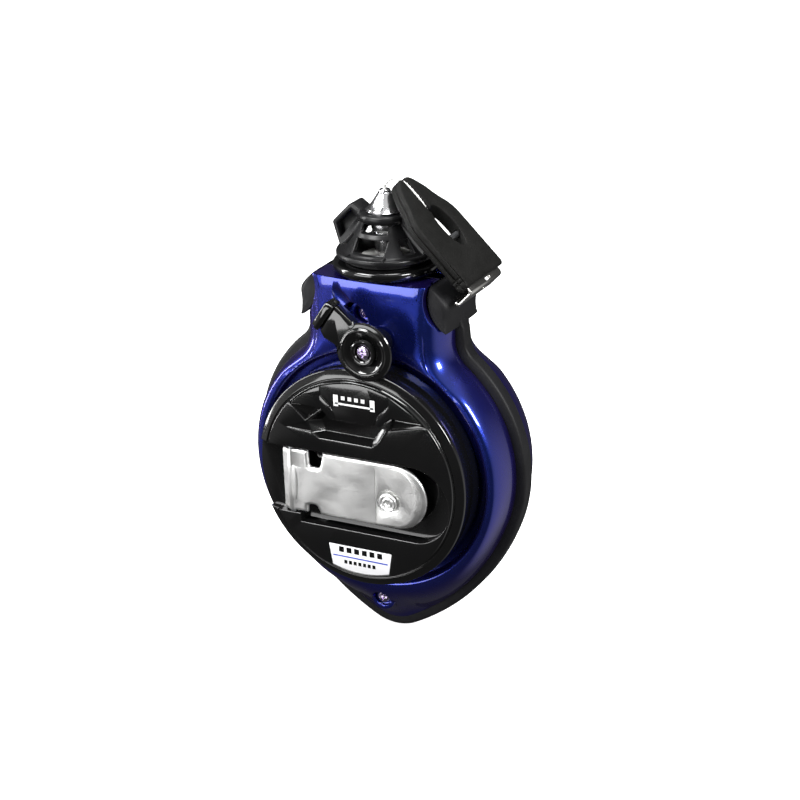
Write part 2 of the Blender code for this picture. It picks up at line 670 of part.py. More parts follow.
def spool(looks, reel):
    mesh = turned_mesh(
        [
            (SPOOL_BORE, GEAR_FRONT_Y + GAP),
            (SUN_BORE - FIT, GEAR_FRONT_Y + GAP),
            (SUN_BORE - FIT, SPOOL_FRONT_Y - GAP),
            (SIDE_PLATE_BORE - FIT, SPOOL_FRONT_Y - GAP),
            (SIDE_PLATE_BORE - FIT, SPOOL_FRONT_Y + FLANGE_THICK + GAP),
            (HUB_RADIUS, SPOOL_FRONT_Y + FLANGE_THICK + GAP),
            (HUB_RADIUS, SPOOL_BACK_Y - FLANGE_THICK),
            (FLANGE_RADIUS, SPOOL_BACK_Y - FLANGE_THICK),
            (FLANGE_RADIUS, SPOOL_BACK_Y),
            (SPOOL_BORE, SPOOL_BACK_Y),
        ],
        FINE,
    )
    return finish_object("line_spool", mesh, looks["resin"], reel)


def spool_side_plate(looks, reel):
    """The spool's front flange, whose rim is the ratchet that the pawl stops."""
    outline = []
    pitch = 2.0 * math.pi / RATCHET_TEETH
    lead = pawl_engaged_angle() - 0.5 * pitch
    for tooth in range(RATCHET_TEETH):
        steep = lead + tooth * pitch
        low = FLANGE_RADIUS - RATCHET_DEPTH
        corners = ((FLANGE_RADIUS, steep), (low, steep + 0.12 * pitch), (low, steep + 0.72 * pitch))
        for radius, turn in corners:
            outline.append((radius * math.cos(turn), radius * math.sin(turn)))
    mesh = prism_mesh(outline, SPOOL_FRONT_Y, SPOOL_FRONT_Y + FLANGE_THICK)
    plate = finish_object("spool_side_plate", mesh, looks["resin"], reel)
    shape(plate, rod_mesh(SIDE_PLATE_BORE, -30.0 * MM, 0.0, MEDIUM))
    return plate


def line_winding(looks, reel):
    front = SPOOL_FRONT_Y + FLANGE_THICK + 2.0 * GAP
    back = SPOOL_BACK_Y - FLANGE_THICK - GAP
    crown = WINDING_RADIUS + 0.8 * MM
    profile = [
        (HUB_RADIUS + GAP, front),
        (WINDING_RADIUS, front),
        (crown, front + (back - front) * 0.25),
        (crown, front + (back - front) * 0.75),
        (WINDING_RADIUS, back),
        (HUB_RADIUS + GAP, back),
    ]
    return finish_object("line_winding", turned_mesh(profile, MEDIUM), looks["chalky_line"], reel)


def axle_group(looks, reel):
    mesh = rod_mesh(AXLE_RADIUS, AXLE_FRONT_Y, AXLE_BACK_Y, MEDIUM)
    axle = finish_object("axle", mesh, looks["steel"], reel)
    shape(axle, rod_mesh(SCREW_SHANK_RADIUS + FIT, -30.0 * MM, AXLE_FRONT_Y + 8.0 * MM, COARSE))
    bush = tube_mesh(AXLE_RADIUS + FIT, SPOOL_BORE - FIT, GEAR_FRONT_Y + GAP, SPOOL_BACK_Y, COARSE)
    finish_object("spool_bush", bush, looks["bronze"], reel)
    bush = tube_mesh(AXLE_RADIUS + FIT, DIAL_HUB_BORE - FIT, DIAL_HOLLOW_Y, DIAL_HUB_BACK_Y, COARSE)
    finish_object("dial_bush", bush, looks["bronze"], reel)
    screw("dial_screw", looks, reel, (0.0, 0.0), POCKET_FLOOR_Y - GAP, AXLE_FRONT_Y + 6.0 * MM)


def dial_profile():
    return [
        (0.0, DIAL_HOLLOW_Y),
        (DIAL_RADIUS - DIAL_WALL, DIAL_HOLLOW_Y),
        (DIAL_RADIUS - DIAL_WALL, DIAL_BACK_Y),
        (DIAL_RADIUS, DIAL_BACK_Y),
        (DIAL_RADIUS, DIAL_RIM_Y),
        (DIAL_FACE_RADIUS, DIAL_FACE_Y),
        (0.0, DIAL_FACE_Y),
    ]


def pocket_outline():
    """The arm's pocket: a flat-topped slot with a round right end and a narrower mouth at the left."""
    half = (POCKET_TOP_Z - POCKET_LOW_Z) / 2.0
    middle = (POCKET_TOP_Z + POCKET_LOW_Z) / 2.0
    neck_x = ARM_HINGE_X + 3.6 * MM
    left_x = ARM_LEFT_X - 0.8 * MM
    points = [(left_x, POCKET_TOP_Z), (left_x, CHANNEL_LOW_Z)]
    points += [(neck_x, CHANNEL_LOW_Z), (neck_x, POCKET_LOW_Z)]
    return points + arc((POCKET_END_X, middle), half, -math.pi / 2, math.pi / 2, 11)


def emblem_outline(inset):
    """The segment above the finger hold, whose lower edge steps down in the middle."""
    radius = DIAL_FACE_RADIUS - EMBLEM_MARGIN - inset
    low = EMBLEM_LOW_Z + inset
    drop = EMBLEM_DROP_Z + inset
    half = EMBLEM_DROP_HALF - inset * 0.4
    edge = math.asin(low / radius)
    return [
        (-half - (low - drop), low), (-half, drop), (half, drop), (half + (low - drop), low),
    ] + arc((0.0, 0.0), radius, edge, math.pi - edge, 15)


def label_outline(inset):
    radius = DIAL_FACE_RADIUS - LABEL_MARGIN - inset
    half = LABEL_HALF_WIDTH - inset
    low = -math.pi / 2
    spread = math.asin(half * 0.9 / radius)
    top = LABEL_TOP_Z - inset
    return [(half, top), (-half, top)] + arc((0.0, 0.0), radius, low - spread, low + spread, 7)


def finger_hold_outline():
    return [
        (-19.4 * MM, FINGER_TOP_Z), (-17.0 * MM, 15.4 * MM), (-14.6 * MM, FINGER_LOW_Z),
        (7.4 * MM, FINGER_LOW_Z), (13.4 * MM, FINGER_TOP_Z),
    ]


def crank_dial(looks, reel):
    dial = finish_object("crank_dial", turned_mesh(dial_profile(), FINE), looks["gloss_black"], reel)
    hub = rod_mesh(DIAL_HUB_BORE + 2.0 * MM, DIAL_FACE_Y + 3.0 * MM, DIAL_HUB_BACK_Y, MEDIUM)
    shape(dial, hub, "UNION")
    knob_place = (KNOB_X, 0.0, KNOB_Z)
    well = rod_mesh(KNOB_RADIUS + 2.6 * MM, DIAL_FACE_Y + 3.0 * MM, DIAL_HUB_BACK_Y, MEDIUM, "Y", knob_place)
    shape(dial, well, "UNION")
    for x, z in carrier_screw_places():
        boss = rod_mesh(BOSS_RADIUS, DIAL_FACE_Y + 3.0 * MM, DIAL_HUB_BACK_Y, COARSE, "Y", (x, 0.0, z))
        shape(dial, boss, "UNION")
    shape(dial, prism_mesh(pocket_outline(), DIAL_FACE_Y - 5.0 * MM, POCKET_FLOOR_Y))
    channel_low = (-DIAL_RADIUS - 5.0 * MM, DIAL_FACE_Y - 5.0 * MM, CHANNEL_LOW_Z)
    shape(dial, box_mesh(channel_low, (ARM_LEFT_X, CHANNEL_FLOOR_Y, POCKET_TOP_Z)))
    well = rod_mesh(KNOB_RADIUS + 1.0 * MM, DIAL_FACE_Y - 5.0 * MM, KNOB_WELL_Y, MEDIUM, "Y", knob_place)
    shape(dial, well)
    shape(dial, prism_mesh(finger_hold_outline(), DIAL_FACE_Y - 5.0 * MM, FINGER_FLOOR_Y))
    shape(dial, prism_mesh(emblem_outline(0.0), DIAL_FACE_Y - 5.0 * MM, DIAL_FACE_Y + EMBLEM_THICK + GAP))
    shape(dial, prism_mesh(label_outline(0.0), DIAL_FACE_Y - 5.0 * MM, DIAL_FACE_Y + LABEL_THICK + GAP))
    shape(dial, rod_mesh(AXLE_RADIUS + FIT, -30.0 * MM, 0.0, MEDIUM))
    shape(dial, rod_mesh(DIAL_HUB_BORE, DIAL_HOLLOW_Y - GAP, 0.0, MEDIUM))
    for x, z in carrier_screw_places():
        bore = rod_mesh(SCREW_SHANK_RADIUS + FIT, CARRIER_SCREW_TIP_Y - GAP, 0.0, SMALL, "Y", (x, 0.0, z))
        shape(dial, bore)
    pin_place = (ARM_HINGE_X, ARM_HINGE_Y, 0.0)
    ends = (HINGE_PIN_LOW_Z - GAP, HINGE_PIN_TOP_Z + GAP)
    pin_hole = rod_mesh(HINGE_PIN_RADIUS + FIT, *ends, COARSE, "Z", pin_place)
    shape(dial, pin_hole)
    return dial


def dial_trim(looks, reel):
    plate = prism_mesh(emblem_outline(GAP), DIAL_FACE_Y, DIAL_FACE_Y + EMBLEM_THICK)
    finish_object("emblem_plate", plate, looks["gloss_black"], reel)
    label = prism_mesh(label_outline(GAP), DIAL_FACE_Y, DIAL_FACE_Y + LABEL_THICK)
    finish_object("dial_label", label, looks["label"], reel)


def crank_arm(looks, reel):
    half = (ARM_TOP_Z - ARM_LOW_Z) / 2.0
    middle = (ARM_TOP_Z + ARM_LOW_Z) / 2.0
    top_notch = [(-14.0 * MM, ARM_TOP_Z), (-15.6 * MM, 1.8 * MM)]
    top_notch += [(-19.6 * MM, 1.8 * MM), (-20.0 * MM, ARM_TOP_Z)]
    low_notch = [(-21.0 * MM, ARM_LOW_Z), (-20.4 * MM, -13.0 * MM)]
    low_notch += [(-17.6 * MM, -13.0 * MM), (-15.6 * MM, ARM_LOW_Z)]
    outline = top_notch + [(ARM_LEFT_X, ARM_TOP_Z), (ARM_LEFT_X, ARM_LOW_Z)] + low_notch
    outline += arc((ARM_END_X, middle), half, -math.pi / 2, math.pi / 2, 13)
    pivot = (ARM_HINGE_X, ARM_HINGE_Y, 0.0)
    mesh = prism_mesh(outline, ARM_FACE_Y, ARM_FACE_Y + ARM_THICK)
    arm = finish_object("crank_arm", mesh, looks["bright_steel"], reel, pivot)
    soften(arm, 0.5 * MM)
    # The knuckle is rolled under the plate at its left end.
    knuckle_mesh = rod_mesh(KNUCKLE_RADIUS, ARM_LOW_Z + 0.4 * MM, ARM_TOP_Z - 0.4 * MM, COARSE, "Z")
    knuckle = shape(arm, knuckle_mesh, "UNION")
    knuckle.location = pivot
    bore = shape(arm, rod_mesh(HINGE_PIN_RADIUS + FIT, -30.0 * MM, 30.0 * MM, COARSE, "Z"))
    bore.location = pivot
    hole = shape(arm, rod_mesh(RIVET_RADIUS + FIT, -40.0 * MM, 0.0, COARSE))
    hole.location = (KNOB_X, 0.0, KNOB_Z)
    pin = rod_mesh(HINGE_PIN_RADIUS, HINGE_PIN_LOW_Z, HINGE_PIN_TOP_Z, COARSE, "Z", pivot)
    finish_object("arm_hinge_pin", pin, looks["steel"], reel, pivot)
    return arm


def crank_knob(looks, reel):
    front = ARM_FACE_Y + ARM_THICK + GAP
    centre = (KNOB_X, 0.0, KNOB_Z)
    profile = [
        (RIVET_RADIUS + FIT, front),
        (KNOB_RADIUS - 1.6 * MM, front),
        (KNOB_RADIUS - 0.4 * MM, front + 1.6 * MM),
        (KNOB_RADIUS, KNOB_BACK_Y - 2.0 * MM),
        (KNOB_RADIUS - 1.4 * MM, KNOB_BACK_Y),
        (RIVET_HEAD_RADIUS + 0.6 * MM, KNOB_BACK_Y),
        (RIVET_HEAD_RADIUS + 0.6 * MM, KNOB_BACK_Y - 2.0 * MM),
        (RIVET_RADIUS + FIT, KNOB_BACK_Y - 2.0 * MM),
    ]
    finish_object("crank_knob", turned_mesh(profile, MEDIUM, "Y", centre), looks["black"], reel, centre)
    tail = KNOB_BACK_Y - 2.0 * MM + GAP
    profile = [
        (0.0, ARM_FACE_Y - GAP - 1.0 * MM),
        (RIVET_HEAD_RADIUS - 0.8 * MM, ARM_FACE_Y - GAP - 1.0 * MM),
        (RIVET_HEAD_RADIUS, ARM_FACE_Y - GAP - 0.4 * MM),
        (RIVET_HEAD_RADIUS, ARM_FACE_Y - GAP),
        (RIVET_RADIUS, ARM_FACE_Y - GAP),
        (RIVET_RADIUS, tail),
        (RIVET_HEAD_RADIUS, tail),
        (RIVET_HEAD_RADIUS - 0.6 * MM, tail + 1.0 * MM),
        (0.0, tail + 1.0 * MM),
    ]
    mesh = turned_mesh(profile, COARSE, "Y", centre)
    finish_object("knob_rivet", mesh, looks["bright_steel"], reel, centre)


def lock_lever(looks, reel):
    centre = (LEVER_X, 0.0, LEVER_Z)
    profile = [
        (LEVER_SHAFT_RADIUS + FIT, LEVER_STEM_BACK_Y),
        (LEVER_STEM_RADIUS, LEVER_STEM_BACK_Y),
        (LEVER_STEM_RADIUS, LEVER_DISC_BACK_Y),
        (LEVER_DISC_RADIUS, LEVER_DISC_BACK_Y),
        (LEVER_DISC_RADIUS, LEVER_FACE_Y + 1.0 * MM),
        (LEVER_BOSS_RADIUS, LEVER_FACE_Y + 0.6 * MM),
        (LEVER_BOSS_RADIUS - 0.5 * MM, LEVER_FACE_Y),
        (LEVER_BOSS_RADIUS - 1.2 * MM, LEVER_FACE_Y),
        (LEVER_SLEEVE_RADIUS + GAP, LEVER_FACE_Y + 1.2 * MM),
        (LEVER_SLEEVE_RADIUS + GAP, LEVER_SEAT_Y),
        (LEVER_SHAFT_RADIUS + FIT, LEVER_SEAT_Y),
    ]
    mesh = turned_mesh(profile, MEDIUM, "Y", centre)
    lever = finish_object("lock_lever", mesh, looks["gloss_black"], reel, centre)
    # The tab is a thick bar across the hub's edge, with an upturned outer end.
    out = Vector((math.cos(LEVER_ANGLE), math.sin(LEVER_ANGLE)))
    across = Vector((-out.y, out.x))
    outline = [(8.6, -6.4), (LEVER_REACH / MM, -7.0), (LEVER_REACH / MM, 5.0), (15.0, 6.6), (8.6, 5.4)]
    corners = [(out * u * MM + across * v * MM) for u, v in outline]
    tab = prism_mesh([(p.x, p.y) for p in corners], LEVER_FACE_Y + 0.8 * MM, LEVER_DISC_BACK_Y + 3.0 * MM)
    shape(lever, tab, "UNION").location = centre
    far = LEVER_REACH / MM
    lip_outline = [(far - 2.4, -7.0), (far, -7.0), (far, 5.0), (far - 2.4, 5.0)]
    corners = [(out * u * MM + across * v * MM) for u, v in lip_outline]
    lip = prism_mesh([(p.x, p.y) for p in corners], LEVER_FACE_Y - 1.0 * MM, LEVER_FACE_Y + 3.0 * MM)
    shape(lever, lip, "UNION").location = centre
    radii = (SCREW_HEAD_RADIUS + 0.5 * MM, LEVER_SLEEVE_RADIUS)
    sleeve = tube_mesh(*radii, LEVER_SEAT_Y - GAP, LEVER_FACE_Y - 0.2 * MM, MEDIUM, "Y", centre)
    finish_object("lever_sleeve", sleeve, looks["gloss_black"], reel, centre)
    screw("lever_screw", looks, reel, (LEVER_X, LEVER_Z), LEVER_SEAT_Y - GAP, LEVER_SEAT_Y + 8.0 * MM)
    return lever


def pawl_engaged_angle():
    """The angle round the spool at which the engaged pawl's tip lies."""
    return math.atan2(LEVER_Z, LEVER_X)


def lock_pawl(looks, reel):
    """The shaft under the lever, with a finger at its inner end that drops between the ratchet's teeth."""
    centre = (LEVER_X, 0.0, LEVER_Z)
    shaft = rod_mesh(LEVER_SHAFT_RADIUS, LEVER_SEAT_Y + GAP, PAWL_BACK_Y, COARSE, "Y", centre)
    pawl = finish_object("lock_pawl", shaft, looks["steel"], reel, centre)
    length = math.hypot(LEVER_X, LEVER_Z) - (FLANGE_RADIUS - RATCHET_DEPTH) - 0.6 * MM
    turn = pawl_engaged_angle() + math.pi + PAWL_SWING
    out = Vector((math.cos(turn), math.sin(turn)))
    across = Vector((-out.y, out.x))
    root = 3.6 * MM
    tip = 1.1 * MM
    corners = [-across * root, out * length - across * tip, out * length + across * tip]
    corners += [across * root, -out * root]
    finger = prism_mesh([(p.x, p.y) for p in corners], PAWL_BACK_Y, PAWL_FRONT_Y)
    shape(pawl, finger, "UNION").location = centre
    bore = rod_mesh(SCREW_SHANK_RADIUS + FIT, -40.0 * MM, LEVER_SEAT_Y + 9.0 * MM, COARSE)
    shape(pawl, bore).location = centre
    return pawl


def neck_pieces(looks, reel):
    profile = [
        (CAGE_SKIRT_RADIUS + GAP, NECK_TOP - NECK_REACH),
        (NOZZLE_HOLE_RADIUS - GAP, NECK_TOP - NECK_REACH),
        (NOZZLE_HOLE_RADIUS - GAP, NECK_TOP + GAP),
        (COLLAR_RADIUS - 1.4 * MM, NECK_TOP + GAP),
        (COLLAR_RADIUS, NECK_TOP + 1.6 * MM),
        (COLLAR_RADIUS, COLLAR_TOP_Z - 1.0 * MM),
        (COLLAR_RADIUS - 1.2 * MM, COLLAR_TOP_Z),
        (CAGE_SKIRT_RADIUS + GAP, COLLAR_TOP_Z),
    ]
    finish_object("neck_collar", turned_mesh(profile, CAGE_STEPS, "Z"), looks["gloss_black"], reel)
    low = COLLAR_TOP_Z + GAP
    gasket = tube_mesh(CAGE_SKIRT_RADIUS + GAP, COLLAR_RADIUS - 4.0 * MM, low, low + GASKET_THICK, MEDIUM, "Z")
    finish_object("neck_gasket", gasket, looks["rubber"], reel)


def cage_radius(z):
    """The cage's outer radius, which sweeps in from the flange to the upper ring in a hollow curve."""
    share = (z - CAGE_FLANGE_TOP_Z) / (CAGE_NECK_Z - CAGE_FLANGE_TOP_Z)
    return CAGE_TOP_RADIUS + (CAGE_FLANGE_RADIUS - 1.4 * MM - CAGE_TOP_RADIUS) * (1.0 - share) ** 1.4


def nozzle_cage(looks, reel):
    flange_low = COLLAR_TOP_Z + GASKET_THICK + 2.0 * GAP
    skirt_low = NECK_TOP - NECK_REACH + 1.0 * MM
    heights = [CAGE_FLANGE_TOP_Z + (CAGE_NECK_Z - CAGE_FLANGE_TOP_Z) * i / 4.0 for i in range(5)]
    outside = [(cage_radius(z), z) for z in heights]
    inside = [(max(CAGE_BORE_RADIUS, r - CAGE_WALL), z - 0.6 * MM) for r, z in reversed(outside)]
    profile = [
        (CAGE_SKIRT_RADIUS, skirt_low),
        (CAGE_SKIRT_RADIUS, flange_low),
        (CAGE_FLANGE_RADIUS, flange_low),
        (CAGE_FLANGE_RADIUS, CAGE_FLANGE_TOP_Z - 0.5 * MM),
        (CAGE_FLANGE_RADIUS - 0.5 * MM, CAGE_FLANGE_TOP_Z),
    ]
    profile += outside
    profile += [(CAGE_TOP_RADIUS, CAGE_TOP_Z), (CAGE_BORE_RADIUS, CAGE_TOP_Z)]
    profile += inside[:-1]
    profile += [
        (CAGE_SKIRT_RADIUS - CAGE_WALL, CAGE_FLANGE_TOP_Z - 2.6 * MM),
        (CAGE_SKIRT_RADIUS - CAGE_WALL, skirt_low),
    ]
    cage = finish_object("nozzle_cage", turned_mesh(profile, CAGE_STEPS, "Z"), looks["gloss_black"], reel)
    # Front and back each have two square windows, one above the other, with a small one on each side.
    low_window = (CAGE_FLANGE_TOP_Z + 0.7 * MM, CAGE_FLANGE_TOP_Z + 5.4 * MM)
    high_window = (CAGE_FLANGE_TOP_Z + 7.0 * MM, CAGE_NECK_Z)
    half = CAGE_WINDOW_HALF
    for hand in (-1.0, 1.0):
        for (low, high), narrow in ((low_window, 0.0), (high_window, 0.9 * MM)):
            start, end = sorted((hand * 3.0 * MM, hand * 24.0 * MM))
            window = box_mesh((-half + narrow, start, low), (half - narrow, end, high))
            shape(cage, window)
        for side in (-1.0, 1.0):
            middle = math.atan2(hand * 0.62, side)
            start, end = middle - CAGE_SIDE_WINDOW, middle + CAGE_SIDE_WINDOW
            wedge = arc((0.0, 0.0), 24.0 * MM, start, end, 3) + arc((0.0, 0.0), 9.4 * MM, end, start, 2)
            shape(cage, upright_prism_mesh(wedge, *low_window))
    for side in (-1.0, 1.0):
        wing = [(-7.4, -0.6), (-11.4, 2.3), (-18.9, -5.0), (-16.4, -13.6), (-14.0, -13.6), (-7.4, -4.6)]
        frame = prism_mesh(wing_outline(side, wing), -WING_HALF_DEPTH, WING_HALF_DEPTH)
        shape(cage, frame, "UNION")
        hole = wing_outline(side, [(-11.2, 0.0), (-16.9, -5.5), (-15.8, -10.0), (-9.4, -2.1)])
        shape(cage, prism_mesh(hole, -WING_HALF_DEPTH - 1.0 * MM, -WING_WEB_HALF))
        shape(cage, prism_mesh(hole, WING_WEB_HALF, WING_HALF_DEPTH + 1.0 * MM))
    shape(cage, rod_mesh(CAGE_BORE_RADIUS, skirt_low, CAGE_TOP_Z + 1.0 * MM, MEDIUM, "Z"))
    return cage


def wing_outline(side, points):
    """(x, z) points in millimetres, with z from the cage's top, on the left or the right."""
    return [(side * -x * MM, CAGE_TOP_Z + z * MM) for x, z in points]


def upright_prism_mesh(outline, low, high):
    """Extrudes an outline of (x, y) points along Z."""
    mesh = prism_mesh(outline, low, high)
    mesh.transform(Matrix(((1, 0, 0, 0), (0, 0, 1, 0), (0, 1, 0, 0), (0, 0, 0, 1))))
    mesh.flip_normals()
    return mesh


def nozzle_inside(looks, reel):
    base = CAGE_TOP_Z + GAP
    bore = LINE_RADIUS + 0.4 * MM
    stem_low = CAGE_FLANGE_TOP_Z - 2.0 * MM
    profile = [
        (bore, stem_low),
        (CAGE_BORE_RADIUS - 1.2 * MM, stem_low),
        (CAGE_BORE_RADIUS - 1.2 * MM, stem_low + 8.0 * MM),
        (CAGE_BORE_RADIUS - FIT, stem_low + 9.0 * MM),
        (CAGE_BORE_RADIUS - FIT, base),
        (TIP_BASE_RADIUS + 0.4 * MM, base),
        (TIP_BASE_RADIUS + 0.2 * MM, base + 0.8 * MM),
        (TIP_BASE_RADIUS - 1.0 * MM, base + 2.4 * MM),
        (TIP_TOP_RADIUS + 0.7 * MM, TIP_TOP_Z - 1.4 * MM),
        (TIP_TOP_RADIUS, TIP_TOP_Z - 0.3 * MM),
        (TIP_TOP_RADIUS - 0.3 * MM, TIP_TOP_Z),
        (bore, TIP_TOP_Z),
    ]
    finish_object("nozzle_tip", turned_mesh(profile, MEDIUM, "Z"), looks["aluminium"], reel)
    felt_radius = CAGE_SKIRT_RADIUS - CAGE_WALL - GAP
    felt = tube_mesh(bore, felt_radius, stem_low - 10.0 * MM, stem_low - 1.0 * MM, MEDIUM, "Z")
    finish_object("felt_wiper", felt, looks["felt"], reel)


def hook_matrix():
    """From (along the hook, into its thickness, across it) to the reel's frame."""
    along = Vector((math.cos(HOOK_LEAN), 0.0, math.sin(HOOK_LEAN)))
    into = Vector((math.sin(HOOK_LEAN), 0.0, -math.cos(HOOK_LEAN)))
    across = Vector((0.0, 1.0, 0.0))
    turn = Matrix((along, into, across)).transposed().to_4x4()
    return Matrix.Translation(HOOK_APEX) @ turn


def hook_piece(mesh):
    mesh.transform(hook_matrix())
    return mesh


def hook_body(looks, reel):
    half = HOOK_HALF_WIDTH / MM
    right = [(0.0, 3.4), (1.4, 5.2), (6.0, 8.2), (9.5, 9.6), (14.0, 12.6), (18.0, 14.2), (22.0, half)]
    right.append((HOOK_LENGTH / MM, half))
    outline = [(s * MM, w * MM) for s, w in right] + [(s * MM, -w * MM) for s, w in reversed(right)]
    mesh = hook_piece(prism_mesh(outline, 0.0, HOOK_THICK))
    body = finish_object("hook_body", mesh, looks["hook"], reel, HOOK_APEX)
    soften(body, 0.7 * MM, angle=50.0)
    window = oval(HOOK_WINDOW_S, HOOK_WINDOW_Y, HOOK_WINDOW_HALF_LENGTH, HOOK_WINDOW_HALF_WIDTH, 20)
    shape(body, hook_piece(prism_mesh(window, -2.0 * MM, HOOK_THICK + 2.0 * MM)))
    slit_end = (HOOK_WINDOW_S - 6.0 * MM, HOOK_SLIT_DEPTH, SLIT_HALF_WIDTH)
    slit = box_mesh((-3.0 * MM, -2.0 * MM, -SLIT_HALF_WIDTH), slit_end)
    shape(body, hook_piece(slit))
    # The nozzle's right wing nests in a shallow recess under the body.
    half = WING_HALF_DEPTH + 0.8 * MM
    recess = box_mesh((8.2 * MM, HOOK_THICK - 1.0 * MM, -half), (22.4 * MM, HOOK_THICK + 3.0 * MM, half))
    shape(body, hook_piece(recess))
    # The claw's tang is held in a slot in the lower edge.
    slot_low = (HOOK_TANG_S - GAP, CLAW_DEPTH - GAP, -CLAW_HALF_WIDTH - GAP)
    slot = box_mesh(slot_low, (HOOK_LENGTH + 4.0 * MM, CLAW_DEPTH + CLAW_THICK + GAP, CLAW_HALF_WIDTH + GAP))
    shape(body, hook_piece(slot))
    pin_place = (ANCHOR_S, HOOK_THICK / 2.0, 0.0)
    pin_hole = rod_mesh(ANCHOR_RADIUS + FIT, -8.6 * MM, 12.0 * MM, COARSE, "Z", pin_place)
    shape(body, hook_piece(pin_hole))
    pin = rod_mesh(ANCHOR_RADIUS, -8.0 * MM, 11.4 * MM, COARSE, "Z", pin_place)
    finish_object("line_anchor_pin", hook_piece(pin), looks["steel"], reel, HOOK_APEX)
    return body


def oval(centre_s, centre_w, half_length, half_width, count):
    turns = [2.0 * math.pi * i / count for i in range(count)]
    return [(centre_s + half_length * math.cos(a), centre_w + half_width * math.sin(a)) for a in turns]


def hook_claw(looks, reel):
    """A bent sheet: a tang in the body, a right-angle bend, a long prong and a short lip."""
    near = CLAW_DEPTH
    far = CLAW_BEND_S
    profile = [
        (HOOK_TANG_S, near),
        (far, near),
        (far, near + CLAW_REACH),
        (far - CLAW_LIP, near + CLAW_REACH),
        (far - CLAW_LIP, near + CLAW_REACH - CLAW_THICK),
        (far - CLAW_THICK, near + CLAW_REACH - CLAW_THICK),
        (far - CLAW_THICK, near + CLAW_THICK),
        (HOOK_TANG_S, near + CLAW_THICK),
    ]
    bm = bmesh.new()
    face = bm.faces.new([bm.verts.new((s, t, -CLAW_HALF_WIDTH)) for s, t in profile])
    grown = bmesh.ops.extrude_face_region(bm, geom=[face])["geom"]
    moved = [item for item in grown if isinstance(item, bmesh.types.BMVert)]
    bmesh.ops.translate(bm, verts=moved, vec=Vector((0.0, 0.0, 2.0 * CLAW_HALF_WIDTH)))
    mesh = hook_piece(mesh_of(bm, "claw"))
    claw = finish_object("hook_claw", mesh, looks["bright_steel"], reel, HOOK_APEX)
    hole_low = (HOOK_LENGTH + 0.6 * MM, near - 3.0 * MM, 0.6 * MM)
    shape(claw, hook_piece(box_mesh(hole_low, (far - CLAW_THICK - 0.3 * MM, near + 4.0 * MM, 3.6 * MM))))
    return claw


def smooth_route(points, spacing):
    """Points along a Catmull-Rom curve through the route's own points."""
    ends = [points[0] * 2 - points[1]] + points + [points[-1] * 2 - points[-2]]
    curve = []
    for a, b, c, d in zip(ends, ends[1:], ends[2:], ends[3:]):
        steps = max(1, round((c - b).length / spacing))
        for i in range(steps):
            t = i / steps
            bend = 2 * b + (c - a) * t + (2 * a - 5 * b + 4 * c - d) * t**2 + (3 * b - a - 3 * c + d) * t**3
            curve.append(bend * 0.5)
    return curve + [points[-1]]


def strand(name, looks, reel, route):
    """A stretch of line through (x, z) points in millimetres."""
    points = smooth_route([Vector((x * MM, 0.0, z * MM)) for x, z in route], LINE_STEP)
    curve = bpy.data.curves.new(name, "CURVE")
    curve.dimensions = "3D"
    curve.bevel_depth = LINE_RADIUS
    curve.bevel_resolution = 2
    curve.use_fill_caps = True
    curve.materials.append(looks["line"])
    spline = curve.splines.new("POLY")
    spline.points.add(len(points) - 1)
    for knot, point in zip(spline.points, points):
        knot.co = (*point, 1.0)
    line = bpy.data.objects.new(name, curve)
    bpy.context.scene.collection.objects.link(line)
    line.parent = reel


def snap_line(looks, reel):
    """The line up from the winding through the nozzle to the hook's apex, and the hook's own end of it."""
    rise = [(0.0, 29.0), (0.0, 62.0), (0.0, 97.5), (0.3, 99.9), (1.6, 101.9), (3.8, 102.9), (6.0, 102.4)]
    strand("snap_line", looks, reel, rise)
    fall = [(6.5, 102.0), (8.24, 101.2), (10.87, 98.9), (13.65, 96.0), (15.6, 93.2), (18.0, 89.9), (21.9, 85.5)]
    strand("hook_line", looks, reel, fall)


def housing_screws(looks, reel):
    screw("housing_screw_upper", looks, reel, UPPER_SCREW, UPPER_SEAT_Y - GAP, 7.0 * MM)
    screw("housing_screw_lower", looks, reel, LOWER_SCREW, LOWER_SEAT_Y - GAP, 7.0 * MM)


def main():
    clear_scene()
    reel = bpy.data.objects.new("reel", None)
    bpy.context.scene.collection.objects.link(reel)
    reel.location = (0.0, -BACK_Y, 0.0)
    looks = {
        "blue": material("candy blue", (0.02, 0.035, 0.42), 0.22, 0.35),
        "rubber": material("black elastomer", (0.02, 0.02, 0.022), 0.6),
        "gloss_black": material("gloss black", (0.006, 0.006, 0.007), 0.12),
        "black": material("black resin", (0.015, 0.015, 0.016), 0.4),
        "hook": material("black moulded hook", (0.025, 0.025, 0.026), 0.7),
        "resin": material("gear resin", (0.75, 0.74, 0.70), 0.45),
        "steel": material("steel", (0.55, 0.56, 0.58), 0.3, 1.0),
        "bright_steel": material("bright steel", (0.80, 0.80, 0.79), 0.28, 1.0),
        "aluminium": material("aluminium", (0.85, 0.85, 0.86), 0.25, 1.0),
        "bronze": material("sintered bronze", (0.55, 0.36, 0.18), 0.4, 1.0),
        "screw": material("plated screw", (0.62, 0.55, 0.66), 0.22, 1.0),
        "label": material("white label", (0.9, 0.9, 0.92), 0.35),
        "felt": material("felt", (0.55, 0.55, 0.52), 0.95),
        "line": material("white line", (0.92, 0.92, 0.90), 0.7),
        "chalky_line": material("wound line", (0.35, 0.45, 0.78), 0.9),
    }
    builders = (
        front_shell, rear_shell, side_band, housing_screws, ring_gear, sun_gear, planet_gears, carrier_plate,
        spool, spool_side_plate, line_winding, axle_group, crank_dial, dial_trim, crank_arm, crank_knob,
        lock_lever, lock_pawl, neck_pieces, nozzle_cage, nozzle_inside, hook_body, hook_claw, snap_line,
    )
    for build in builders:
        build(looks, reel)


main()
